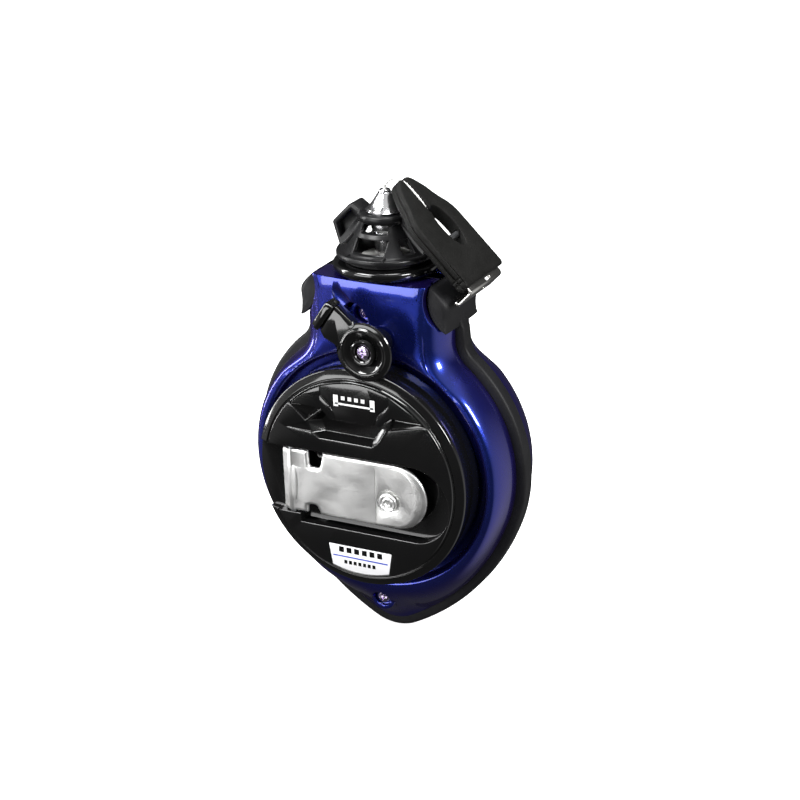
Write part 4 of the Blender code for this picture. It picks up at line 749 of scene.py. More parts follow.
class REEL_OT_shells(bpy.types.Operator):
    """Builds the front and rear shells"""

    bl_idname = "reel.shells"
    bl_label = "Shells"

    def execute(self, context):
        width = context.scene.reel_case.edge_round
        outline = case_outline(0.0)
        rings = case_half_rings(0.0, 46.3 * MM, CREST_Y - 0.1 * MM, 45.3 * MM, CREST_Y)
        for radius, depth in (
            (44.6 * MM, CREST_Y - 0.25 * MM), (44.0 * MM, CREST_Y - 0.9 * MM), (WELL_RADIUS, CREST_Y - 2.2 * MM),
            (WELL_RADIUS, WELL_Y), (RING_HOLE, WELL_Y), (RING_HOLE, WELL_Y - WALL),
        ):
            rings.append(round_ring(outline, radius, depth))
        inner = case_half_rings(-WALL, 45.9 * MM, 11.8 * MM, 41.2 * MM, WELL_Y - WALL, 5, 2)
        front = to_object(loft(turned_over(rings + inner[::-1]), closed=True), "front_shell_finish")
        cut_case(front, True)
        round_edges(front, width, 2, 38.0, 40.0)
        finish(front, "case", "lacquer", ["front_shell"])

        edge = BACK_FACE_RADIUS + 1.2 * MM
        rings = case_half_rings(0.0, 46.3 * MM, CREST_Y - 0.1 * MM, edge, BACK_Y - 0.15 * MM, 10, 8)
        rings.append(round_ring(outline, BACK_FACE_RADIUS, BACK_Y))
        rings.append(round_ring(outline, BACK_FACE_RADIUS - 6.0 * MM, BACK_Y))
        inner = case_half_rings(-WALL, 43.3 * MM, CREST_Y - WALL, BACK_FACE_RADIUS, BACK_Y - WALL, 5, 3)
        rear = to_object(loft(inner[::-1] + rings), "rear_shell_finish")
        cut_case(rear, False)
        round_edges(rear, width, 2, 38.0, 40.0)
        finish(rear, "case", "lacquer", ["rear_shell"])
        return {"FINISHED"}


def band_section(outer, inner):
    """A ring of the band's rounded cross-section between an outer and an inner place."""
    half = SEAM_Y - GAP
    soft = 1.3 * MM
    (ox, oz), (ix, iz) = outer, inner
    length = math.hypot(ox - ix, oz - iz)
    ux, uz = (ox - ix) / length, (oz - iz) / length
    ring = []
    for corner_x, corner_y, start in (
        (length - soft, half - soft, 0.0), (soft * 0.4, half - soft * 0.4, 90.0),
        (soft * 0.4, -half + soft * 0.4, 180.0), (length - soft, -half + soft, 270.0),
    ):
        size = soft if corner_x > soft else soft * 0.4
        for far, depth in arc((corner_x, corner_y), size, math.radians(start), math.radians(start + 90.0), 5):
            ring.append((ix + ux * far, depth, iz + uz * far))
    return ring


class REEL_OT_band(bpy.types.Operator):
    """Builds the elastomer band round the seam, with its two catches"""

    bl_idname = "reel.band"
    bl_label = "Side band"

    def execute(self, context):
        outer = half_outline(BAND_STAND)
        inner = half_outline(-BAND_INNER)
        upper = [
            (30.6, 52.5), (29.6, 55.5), (29.5, 58.6), (29.8, 61.0), (29.6, 62.8), (28.8, 64.4), (27.2, 66.0), (25.4, 67.7),
            (23.8, 68.9), (22.6, 69.4),
        ]
        lower = [
            (24.6, 50.5), (24.2, 53.0), (22.4, 56.4), (21.0, 59.0), (20.6, 61.0), (20.5, 62.6), (20.4, 64.2), (20.4, 65.6),
            (20.4, 66.8), (20.4, 68.0),
        ]
        right = list(zip(outer + rounded(upper), inner + rounded(lower)))
        left = [((-a[0], a[1]), (-b[0], b[1])) for a, b in right[:0:-1]]
        band = to_object(loft([band_section(a, b) for a, b in left + right]), "side_band_finish")
        round_edges(band, 0.25 * MM, 2, 40.0, 42.0)
        finish(band, "case", "band", ["side_band"])
        for hand, side in ((-1.0, "left"), (1.0, "right")):
            catch = to_object(self.catch(hand), f"band_catch_{side}")
            bake(catch, 50.0)
            finish(catch, "case", "band")
        return {"FINISHED"}

    def catch(self, hand):
        """A rounded block that fills its scoop and rises to a nose."""
        centre, radius = (SCOOP[1], SCOOP[2]), SCOOP[0] - 0.4 * MM
        seat = arc(centre, radius, math.radians(157.0), math.radians(240.0), 33)
        rise = [
            (29.0, 53.6), (29.3, 55.6), (29.6, 58.8), (30.0, 61.0), (29.9, 62.8), (29.1, 64.3), (27.7, 65.9), (26.0, 67.4),
            (24.2, 68.8), (22.9, 69.4),
        ]
        nose = rounded(rise)
        rings = []
        # From the middle out, each ring is drawn in at its nose and, near the ends, all round.
        half = [
            (0.5, 1.0, 0.0), (0.7, 0.96, 0.0), (0.84, 0.9, 0.0), (0.93, 0.81, 0.0), (0.975, 0.72, 0.12), (1.0, 0.62, 0.3),
        ]
        for depth, stretch, draw in [(-depth, stretch, draw) for depth, stretch, draw in reversed(half)] + half:
            inside = radius - draw * MM
            ring = [tuple(c + (v - c) * inside / radius for c, v in zip(centre, point)) for point in seat]
            for x, z in nose:
                low_x = centre[0] - math.sqrt(max(inside**2 - (z - centre[1]) ** 2, 0.0))
                ring.append((low_x + (x - low_x) * stretch, z))
            rings.append([(hand * x, depth * 12.6 * MM, z) for x, z in ring])
        return loft(rings)


def screw_head(name, place, seat, tip, body, node):
    """A pan head with a cross recess and its shank, pointing along -Y."""
    x, z = place
    radius = 2.5 * MM
    profile = [
        (0.0, tip), (1.15 * MM, tip), (1.3 * MM, tip - 0.5 * MM), (1.3 * MM, seat), (radius, seat),
        (radius, seat - 0.55 * MM), (radius * 0.93, seat - 0.85 * MM), (radius * 0.74, seat - 1.1 * MM),
        (radius * 0.4, seat - 1.22 * MM), (0.0, seat - 1.25 * MM),
    ]
    head = to_object(spun(profile, SMALL, "Y", at((x, z))), name)
    arm, half = radius * 0.6, radius * 0.13
    for a, b in ((arm, half), (half, arm)):
        points = [(x + sx * a, z + sz * b) for sx, sz in ((-1, -1), (1, -1), (1, 1), (-1, 1))]
        carve(head, slab(points, seat - 3.0 * MM, seat - 0.5 * MM))
    cone = spun([(0.0, seat - 0.3 * MM), (half * 2.4, seat - 1.5 * MM), (0.0, seat - 1.6 * MM)], 12, "Y", at((x, z)))
    carve(head, cone)
    round_edges(head, 0.08 * MM, 2, 35.0)
    return finish(head, body, "screw", [node])


class REEL_OT_screws(bpy.types.Operator):
    """Builds the case screws and the lever's screw"""

    bl_idname = "reel.screws"
    bl_label = "Screws"

    def execute(self, context):
        screw_head("upper_screw_finish", UPPER_SCREW, -10.3 * MM, 7.0 * MM, "case", "housing_screw_upper")
        screw_head("lower_screw_finish", LOWER_SCREW, -11.2 * MM, 7.0 * MM, "case", "housing_screw_lower")
        screw_head("lever_screw_finish", LEVER, -29.7 * MM, -21.4 * MM, "lever", "lever_screw")
        return {"FINISHED"}


# ---------------------------------------------------------------- dial


def pocket_outline(grow=0.0):
    """The pocket the folded arm lies in, square at the hinge and round at the knob."""
    half = (POCKET_TOP_Z - POCKET_LOW_Z) / 2.0 + grow
    middle = (POCKET_TOP_Z + POCKET_LOW_Z) / 2.0
    left = -31.2 * MM - grow
    neck = -23.8 * MM
    low = -16.8 * MM - grow
    corners = [(left, middle + half), (left, low), (neck, low), (neck, middle - half)]
    return corners + arc((21.4 * MM, middle), half, -math.pi / 2.0, math.pi / 2.0, 40)


def emblem_outline(inset):
    """The plate above the finger hold, with its stepped lower edge."""
    radius = DIAL_FACE_RADIUS - 0.8 * MM - inset
    low, drop, half = 25.6 * MM + inset, 21.8 * MM + inset, 10.0 * MM - inset * 0.4
    edge = math.asin(low / radius)
    corners = [(-half - (low - drop), low), (-half, drop), (half, drop), (half + (low - drop), low)]
    return corners + arc((0.0, 0.0), radius, edge, math.pi - edge, 60)


def label_outline(inset):
    """The label below the pocket, with a flat top and a round lower edge."""
    radius = DIAL_FACE_RADIUS - 0.9 * MM - inset
    half = 12.7 * MM - inset
    spread = math.asin(half * 0.9 / radius)
    top = -26.3 * MM - inset
    return [(half, top), (-half, top)] + arc((0.0, 0.0), radius, -math.pi / 2 - spread, -math.pi / 2 + spread, 24)


class REEL_OT_dial(bpy.types.Operator):
    """Builds the crank dial with its pocket, finger hold and facets"""

    bl_idname = "reel.dial"
    bl_label = "Crank dial"

    def execute(self, context):
        face, rim = DIAL_FACE_Y, DIAL_RIM_Y
        wall = DIAL_RADIUS - 2.4 * MM
        profile = [(0.0, -20.5 * MM), (wall, -20.5 * MM), (wall, -14.4 * MM), (DIAL_RADIUS, -14.4 * MM)]
        # The rim's outer edge is round, its slope is a little hollow, and a fine groove parts it from the face.
        edge = arc((0.0, rim + 0.9 * MM), 0.9 * MM, 0.0, -math.pi / 2 + 0.45, 7)
        profile += [(DIAL_RADIUS - 0.9 * MM + r, d) for r, d in edge]
        profile += mm([(39.4, -0.42), (38.4, -0.85), (37.9, -1.0), (37.8, -0.7), (37.4, -0.7), (37.3, -1.1)], rim)
        step = ((0.1, 0.5), (0.25, 0.15), (0.65, 0.0))
        profile += [(DIAL_FACE_RADIUS - inset * MM, face + depth * MM) for inset, depth in step]
        profile.append((0.0, face))
        dial = to_object(spun(profile, 160), "crank_dial_finish")
        carve(dial, rod(6.6 * MM, face + 3.0 * MM, -15.7 * MM, 64), "UNION")
        carve(dial, rod(11.2 * MM, face + 3.0 * MM, -15.7 * MM, 64, "Y", at(KNOB)), "UNION")
        carve(dial, slab(pocket_outline(), face - 5.0 * MM, POCKET_FLOOR_Y))
        carve(dial, block((-46.0 * MM, face - 5.0 * MM, -16.8 * MM), (-30.8 * MM, -24.4 * MM, POCKET_TOP_Z)))
        carve(dial, rod(9.6 * MM, face - 5.0 * MM, -16.8 * MM, 64, "Y", at(KNOB)))
        carve(dial, rod(3.2 * MM, -40.0 * MM, 0.0, 40))
        carve(dial, rod(1.1 * MM, -20.1 * MM, 11.7 * MM, 24, "Z", (*ARM_HINGE, 0.0)))
        self.cut_face(dial)
        round_edges(dial, 0.22 * MM, 3, 28.0, 45.0)
        finish(dial, "dial", "gloss", ["crank_dial"])
        return {"FINISHED"}

    def cut_face(self, dial):
        """The finger hold under the plate, and the facets that run out from it to the left and right."""
        face = DIAL_FACE_Y
        front = face - 1.0 * MM
        lip = [(-19.9, 20.1), (-18.1, 15.8), (-15.0, 13.6), (6.5, 13.4), (9.6, 15.8), (13.1, 21.6)]
        hold = [(x * MM, front, z * MM) for x, z in lip + [(12.0, 25.0), (-13.2, 25.0)]]
        floor = ((-15.4, 19.6), (-13.8, 15.4), (5.2, 15.2), (8.6, 19.6), (8.6, 23.4), (-12.0, 23.4))
        hold += [(x * MM, face + 4.2 * MM, z * MM) for x, z in floor]
        carve(dial, hull(hold))
        facets = (
            ((-26.4, 26.0), (-12.8, 25.8), (-19.9, 20.1), 2.0),
            ((27.9, 24.8), (14.6, 25.4), (13.1, 21.0), 1.7),
            ((-27.6, 16.4), (-17.6, 15.6), (-19.6, 19.6), 0.9),
            ((25.0, 17.0), (12.6, 20.4), (9.8, 15.6), 0.0),
        )
        for outer, high, low, depth in facets:
            if depth:
                points = [(x * MM, front, z * MM) for x, z in (outer, high, low)]
                points += [(x * MM, face + depth * MM, z * MM) for x, z in (high, low)]
                points.append((outer[0] * MM, face + 0.05 * MM, outer[1] * MM))
                carve(dial, hull(points))
        carve(dial, slab(emblem_outline(0.0), face - 5.0 * MM, face + 1.0 * MM))
        carve(dial, slab(label_outline(0.0), face - 5.0 * MM, face + 0.7 * MM))


class REEL_OT_dial_trim(bpy.types.Operator):
    """Builds the raised plate and the label on the dial, with plain marks in place of words"""

    bl_idname = "reel.dial_trim"
    bl_label = "Plate and label"

    def execute(self, context):
        face = DIAL_FACE_Y
        plate = to_object(slab(emblem_outline(GAP * 0.5), face - 0.05 * MM, face + 0.7 * MM), "plate_finish")
        # Grooves outline the middle panel.
        path = [(-9.0, 37.0), (-13.4, 34.0), (-13.4, 30.4), (-9.0, 26.2), (-7.0, 20.0)]
        for side in (-1.0, 1.0):
            for (ax, az), (bx, bz) in zip(path, path[1:]):
                run = Vector((bx - ax, bz - az)).normalized() * 0.17
                across = Vector((-run.y, run.x))
                corners = [Vector((ax, az)) - run, Vector((bx, bz)) + run]
                outline = [corners[0] - across, corners[1] - across, corners[1] + across, corners[0] + across]
                carve(plate, slab([(side * p.x * MM, p.y * MM) for p in outline], face - 1.0 * MM, face + 0.22 * MM))
        round_edges(plate, 0.16 * MM, 3, 30.0, 45.0)
        finish(plate, "dial", "gloss", ["emblem_plate"])

        label = to_object(slab(label_outline(GAP * 0.4), face - 0.02 * MM, face + 0.4 * MM), "label_finish")
        soften(label, 0.12 * MM, 2, 30.0)
        bake(label, 45.0)
        finish(label, "dial", "label", ["dial_label"])

        # A plain sign of a tight line between two pegs, over a row of even dashes.
        marks = [(-7.6, 28.1, 7.6, 28.8)]
        marks += [(side * 7.2 - 0.9, 27.4, side * 7.2 + 0.9, 31.6) for side in (-1.0, 1.0)]
        marks += [(-5.0 + 2.6 * i, 30.0, -3.6 + 2.6 * i, 31.4) for i in range(4)]
        self.print_blocks("plate_marks", marks, "mark", face - 0.09 * MM)
        top = [(-8.6 + 3.1 * i, -29.0, -6.6 + 3.1 * i, -26.9) for i in range(6)]
        low = [(-6.6 + 1.9 * i, -33.4, -5.4 + 1.9 * i, -32.0) for i in range(7)]
        self.print_blocks("label_marks", top + low, "gloss", face - 0.06 * MM)
        self.print_blocks("label_stripe", [(-11.0, -30.9, 11.0, -30.4)], "stripe", face - 0.06 * MM)
        return {"FINISHED"}

    def print_blocks(self, name, blocks, finish_name, depth):
        """Prints a row of thin plain blocks, each given by two corners."""
        bm = bmesh.new()
        for x0, z0, x1, z1 in blocks:
            extrude(bm, mm([(x0, z0), (x1, z0), (x1, z1), (x0, z1)]), depth, 0.12 * MM)
        finish(to_object(bm, name), "dial", finish_name)


# ---------------------------------------------------------------- arm


def arm_outline(inset_side, inset_end):
    """The arm's outline with its two notches, drawn in by one amount on its sides and another at its round end."""
    top, low, left = 8.0 * MM - inset_side, -16.2 * MM + inset_side, -30.4 * MM + inset_side * 0.6
    middle = -4.1 * MM
    end = arc((14.5 * MM, middle), 1.0, -math.pi / 2, math.pi / 2, 41)
    reach_y = (top - low) / 2.0
    reach_x = 12.1 * MM - inset_end
    round_end = [(14.5 * MM + (x - 14.5 * MM) * reach_x, middle + (z - middle) * reach_y) for x, z in end]
    d = inset_side
    notch_top = [
        (-14.0 * MM + d, top), (-15.4 * MM + d, 2.4 * MM - d), (-16.2 * MM, 1.7 * MM - d), (-19.2 * MM, 1.7 * MM - d),
        (-19.9 * MM - d, 2.4 * MM - d), (-20.0 * MM - d, top),
    ]
    notch_low = [
        (-21.0 * MM - d, low), (-20.8 * MM - d, -13.6 * MM + d), (-20.2 * MM, -13.0 * MM + d),
        (-17.8 * MM, -13.0 * MM + d), (-17.2 * MM + d, -13.6 * MM + d), (-15.8 * MM + d, low),
    ]
    corner = 0.9 * MM
    left_end = arc((left + corner, top - corner), corner, math.pi / 2, math.pi, 5)
    left_end += arc((left + corner, low + corner), corner, math.pi, 1.5 * math.pi, 5)
    return round_end + notch_top + left_end + notch_low


class REEL_OT_arm(bpy.types.Operator):
    """Builds the stamped crank arm, its rivet and the knob"""

    bl_idname = "reel.arm"
    bl_label = "Crank arm"

    def execute(self, context):
        face = ARM_FACE_Y
        steps = (
            (0.0, 0.0, face + 1.8 * MM), (0.0, 0.0, face + 1.15 * MM), (0.12, 0.25, face + 0.85 * MM),
            (0.45, 1.9, face + 0.36 * MM), (0.75, 3.0, face + 0.12 * MM), (1.1, 3.6, face + 0.02 * MM), (1.5, 4.0, face),
        )
        rings = [[(x, depth, z) for x, z in arm_outline(side * MM, end * MM)] for side, end, depth in steps]
        arm = to_object(loft(rings), "crank_arm_finish")
        carve(arm, rod(1.7 * MM, -15.8 * MM, 7.6 * MM, SMALL, "Z", (*ARM_HINGE, 0.0)), "UNION")
        carve(arm, rod(1.1 * MM, -30.0 * MM, 30.0 * MM, 24, "Z", (*ARM_HINGE, 0.0)))
        carve(arm, rod(2.4 * MM, -40.0 * MM, 0.0, SMALL, "Y", at(KNOB)))
        dish = mm([(0.0, -1.0), (4.9, -1.0), (4.4, 0.32), (0.0, 0.32)], face)
        carve(arm, spun(dish, 64, "Y", at(KNOB)))
        # The hinge end has a raised rib, and a fold line crosses the arm before its round end.
        rib = bmesh.new()
        bmesh.ops.create_uvsphere(rib, u_segments=32, v_segments=24, radius=1.0)
        bmesh.ops.scale(rib, verts=rib.verts, vec=(1.5 * MM, 0.5 * MM, 6.9 * MM))
        bmesh.ops.translate(rib, verts=rib.verts, vec=(-25.9 * MM, face + 0.12 * MM, -5.2 * MM))
        carve(arm, rib, "UNION")
        fold = ((6.5, face - MM), (7.3, face - MM), (6.9, face + 0.12 * MM))
        carve(arm, hull([(x * MM, y, z * MM) for z in (-17.0, 9.0) for x, y in fold]))
        round_edges(arm, 0.18 * MM, 2, 40.0, 45.0)
        finish(arm, "crank", "stamped", ["crank_arm"])
        self.rivet()
        self.knob()
        return {"FINISHED"}

    def rivet(self):
        """A flat head with a rolled ring round a small dimple."""
        face = ARM_FACE_Y - GAP
        centre = at(KNOB)
        profile = mm([
            (0.0, -0.45), (0.7, -0.45), (0.95, -0.75), (1.5, -0.8), (1.9, -0.55), (2.1, -0.3), (2.5, -0.35), (2.9, -0.75),
            (3.3, -0.6), (3.5, -0.25), (3.5, 0.0), (2.2, 0.0),
        ], face)
        profile += mm([(2.2, -19.1), (3.5, -19.1), (3.3, -18.5), (2.7, -18.1), (0.0, -18.1)])
        rivet = to_object(spun(profile, 64, "Y", centre), "rivet_finish")
        finish(rivet, "crank", "stamped", ["knob_rivet"])

    def knob(self):
        """The turning grip on the arm's back, with shallow flutes."""
        front = ARM_FACE_Y + 2.1 * MM
        centre = at(KNOB)
        profile = mm([(2.4, 0.0), (6.6, 0.0), (7.6, 0.5), (8.2, 1.6)], front)
        profile += mm([
            (8.6, -20.4), (8.5, -18.8), (7.9, -17.8), (7.2, -17.4), (4.4, -17.4), (4.1, -17.7), (4.1, -19.4), (2.4, -19.4),
        ])
        knob = to_object(spun(profile, 96, "Y", centre), "crank_knob_finish")
        for i in range(10):
            turn = 2.0 * math.pi * i / 10.0
            spot = (KNOB[0] + 10.4 * MM * math.cos(turn), 0.0, KNOB[1] + 10.4 * MM * math.sin(turn))
            carve(knob, rod(2.2 * MM, front + 1.8 * MM, -18.6 * MM, 24, "Y", spot))
        bake(knob)
        finish(knob, "knob", "satin", ["crank_knob"])


# ---------------------------------------------------------------- lever


class REEL_OT_lever(bpy.types.Operator):
    """Builds the lock lever: a dished round head on a stem, with an angled tab"""

    bl_idname = "reel.lever"
    bl_label = "Lock lever"

    def execute(self, context):
        centre = at(LEVER)
        profile = mm([(2.6, -17.6), (5.0, -17.6), (5.0, -28.6), (10.2, -28.6), (10.6, -28.9)])
        profile += mm([
            (10.6, 1.3), (10.35, 1.0), (9.2, 0.75), (8.7, 0.5), (8.45, 0.1), (8.1, 0.0), (7.6, 0.08), (7.2, 0.5),
            (5.0, 1.5),
        ], LEVER_FACE_Y)
        profile += mm([(4.9, -29.4), (2.6, -29.4)])
        lever = to_object(spun(profile, 96, "Y", centre), "lock_lever_finish")
        out = Vector((math.cos(LEVER_ANGLE), math.sin(LEVER_ANGLE)))
        across = Vector((-out.y, out.x))

        def along_tab(u, v, depth):
            spot = out * u * MM + across * v * MM
            return (LEVER[0] + spot.x, depth * MM, LEVER[1] + spot.y)

        # The tab: a bar with cut-off corners, a shallow step, then a taller flange at its end.
        bar = [(8.0, -6.0), (17.2, -6.6), (17.2, 4.8), (14.6, 6.2), (8.0, 5.2)]
        corners = [along_tab(u, v, d) for u, v in bar for d in (-25.8, -29.8)]
        corners += [along_tab(u * 0.96 + 0.3, v * 0.72, -30.5) for u, v in bar]
        carve(lever, hull(corners), "UNION")
        flange = [(17.4, -7.0), (20.6, -6.4), (20.6, 4.2), (19.0, 5.4), (17.4, 5.2)]
        corners = [along_tab(u, v, -25.6) for u, v in flange] + [along_tab(u, v * 0.92, -31.2) for u, v in flange]
        corners += [along_tab(18.6, v * 0.7, -31.9) for v in (-7.0, 5.2)]
        carve(lever, hull(corners), "UNION")
        web = [(16.6, -5.4), (18.0, -5.4), (18.0, 4.0), (16.6, 4.0)]
        carve(lever, hull([along_tab(u, v, d) for u, v in web for d in (-25.9, -28.8)]), "UNION")
        round_edges(lever, 0.4 * MM, 3, 32.0, 50.0)
        finish(lever, "lever", "gloss", ["lock_lever"])
        profile = mm([
            (3.0, -29.7), (4.5, -29.7), (4.6, -30.6), (4.45, -31.0), (4.15, -31.2), (3.7, -31.2), (3.35, -31.05),
            (3.0, -30.6),
        ])
        sleeve = to_object(spun(profile, 64, "Y", centre), "lever_sleeve_finish")
        finish(sleeve, "lever", "gloss", ["lever_sleeve"])
        return {"FINISHED"}


# ---------------------------------------------------------------- nozzle


def cage_radius(z):
    """The cage's outer radius, which narrows quickly above its flange."""
    share = max(0.0, (z - 78.0 * MM) / (10.4 * MM))
    return 9.0 * MM + 7.4 * MM * (1.0 - min(1.0, share)) ** 1.4


def upright(bm):
    """Turns a slab drawn in (x, z) so that it stands along Z."""
    bmesh.ops.transform(bm, matrix=STAND_UP, verts=bm.verts)
    bmesh.ops.reverse_faces(bm, faces=bm.faces)
    return bm


class REEL_OT_nozzle(bpy.types.Operator):
    """Builds the collar, ribbed cage and turned tip over the neck"""

    bl_idname = "reel.nozzle"
    bl_label = "Nozzle"

    def execute(self, context):
        low = NECK_TOP + GAP
        profile = mm([(11.5, 62.0), (14.3, 62.0)]) + mm([(14.3, 0.0), (17.3, 0.0)], low)
        profile += arc((17.3 * MM, low + 1.7 * MM), 1.7 * MM, -math.pi / 2, 0.0, 7)[1:]
        profile += mm([(18.75, 1.8), (18.75, 2.1), (19.0, 2.2)], low)
        profile += arc((17.9 * MM, 72.9 * MM), 1.1 * MM, 0.0, math.pi / 2, 6) + [(11.5 * MM, 74.0 * MM)]
        finish(to_object(spun(profile, FULL, "Z"), "collar_finish"), "case", "gloss", ["neck_collar"])
        self.cage()
        base = 91.3 * MM
        profile = mm([(0.9, 76.0), (4.2, 76.0), (4.2, 84.0), (5.2, 85.0)])
        profile += mm([
            (5.2, 0.0), (6.8, 0.0), (7.0, 0.15), (7.0, 0.4), (6.8, 0.55), (6.62, 0.57), (6.58, 0.8), (6.4, 0.95),
            (5.9, 1.4), (5.15, 2.3), (4.3, 3.5), (3.5, 4.7), (2.85, 5.7), (2.5, 6.1), (2.5, 6.35), (2.15, 6.45),
            (2.0, 6.7), (1.95, 7.2), (1.7, 7.45), (1.2, 7.5), (0.9, 7.3),
        ], base)
        tip = to_object(spun(profile, FULL, "Z"), "nozzle_tip_finish")
        # A small cross hole for a pin.
        carve(tip, rod(0.5 * MM, -9.0 * MM, -4.2 * MM, 24, "Y", (1.4 * MM, 0.0, base + 1.7 * MM)))
        bake(tip)
        finish(tip, "case", "aluminium", ["nozzle_tip"])
        return {"FINISHED"}

    def cage(self):
        heights = [(78.0 + 10.4 * i / 14.0) * MM for i in range(15)]
        outside = [(cage_radius(z), z) for z in heights]
        inside = [(max(5.4 * MM, r - 1.8 * MM), z - 0.6 * MM) for r, z in reversed(outside)]
        profile = mm([(11.2, 63.0), (11.2, 75.8), (17.4, 75.8), (17.8, 76.1), (17.8, 77.4), (17.5, 77.8), (17.1, 78.0)])
        profile += outside
        profile += mm([(9.35, 88.6), (9.5, 88.9), (9.5, 90.2), (9.3, 90.7), (8.8, 91.0), (5.9, 91.0), (5.4, 90.7)])
        profile += inside[:-1] + mm([(9.4, 75.4), (9.4, 63.0)])
        cage = to_object(spun(profile, FULL, "Z"), "nozzle_cage_finish")
        # Front and back each have two square windows, one above the other, with a small one on each side.
        for hand in (-1.0, 1.0):
            start, end = sorted((hand * 3.0 * MM, hand * 24.0 * MM))
            carve(cage, block((-5.9 * MM, start, 78.9 * MM), (5.9 * MM, end, 83.5 * MM)))
            carve(cage, block((-5.0 * MM, start, 85.1 * MM), (5.0 * MM, end, 88.2 * MM)))
            for side in (-1.0, 1.0):
                middle = math.atan2(hand * 0.62, side)
                wedge = arc((0.0, 0.0), 24.0 * MM, middle - 0.16, middle + 0.16, 5)
                wedge += arc((0.0, 0.0), 9.4 * MM, middle + 0.16, middle - 0.16, 3)
                carve(cage, upright(slab(wedge, 78.9 * MM, 83.5 * MM)))
                # A groove down each upright by the square windows.
                x = side * 6.9 * MM
                corners = ((18.0, 14.2, 78.4), (10.0, 6.2, 88.6))
                cut = [p for far, near, z in corners for p in ((-0.22, far, z), (0.22, far, z), (0.0, near, z))]
                carve(cage, hull([(x + dx * MM, hand * y * MM, z * MM) for dx, y, z in cut]))
            self.wing(cage, hand)
        carve(cage, rod(5.4 * MM, 62.0 * MM, 92.0 * MM, 64, "Z"))
        round_edges(cage, 0.28 * MM, 2, 32.0, 42.0)
        finish(cage, "case", "satin", ["nozzle_cage"])

    def wing(self, cage, side):
        """A slanted catch with a framed window on each face and a ribbed pad on its end."""
        plate = [
            (-7.0, 90.4), (-10.6, 93.0), (-11.4, 93.3), (-12.3, 92.9), (-18.4, 86.9), (-18.9, 86.0), (-18.7, 85.2),
            (-16.4, 77.4), (-13.6, 77.4), (-7.0, 86.4),
        ]
        carve(cage, slab([(side * -x * MM, z * MM) for x, z in plate], -4.2 * MM, 4.2 * MM), "UNION")
        hole = [(-11.3, 91.4), (-17.3, 85.6), (-16.0, 80.6), (-9.3, 88.6)]
        window = [(side * -x * MM, z * MM) for x, z in hole]
        carve(cage, slab(window, -6.0 * MM, -0.6 * MM))
        carve(cage, slab(window, 0.6 * MM, 6.0 * MM))
        for i in range(5):
            share = 0.14 + 0.17 * i
            x, z = -11.4 - 7.2 * share, 93.3 - 7.2 * share
            bar = [(x - 1.0, z - 0.1), (x - 0.2, z - 0.9), (x + 0.3, z - 0.4), (x - 0.5, z + 0.4)]
            carve(cage, slab([(side * -bx * MM, bz * MM) for bx, bz in bar], -3.2 * MM, 3.2 * MM))


# ---------------------------------------------------------------- hook


def hooked(bm):
    """Moves a shape drawn as (along the hook, into its thickness, across it) to the hook's place."""
    along = Vector((math.cos(HOOK_LEAN), 0.0, math.sin(HOOK_LEAN)))
    into = Vector((math.sin(HOOK_LEAN), 0.0, -math.cos(HOOK_LEAN)))
    turn = Matrix((along, into, Vector((0.0, 1.0, 0.0)))).transposed().to_4x4()
    bmesh.ops.transform(bm, matrix=Matrix.Translation(HOOK_APEX) @ turn, verts=bm.verts)
    return bm


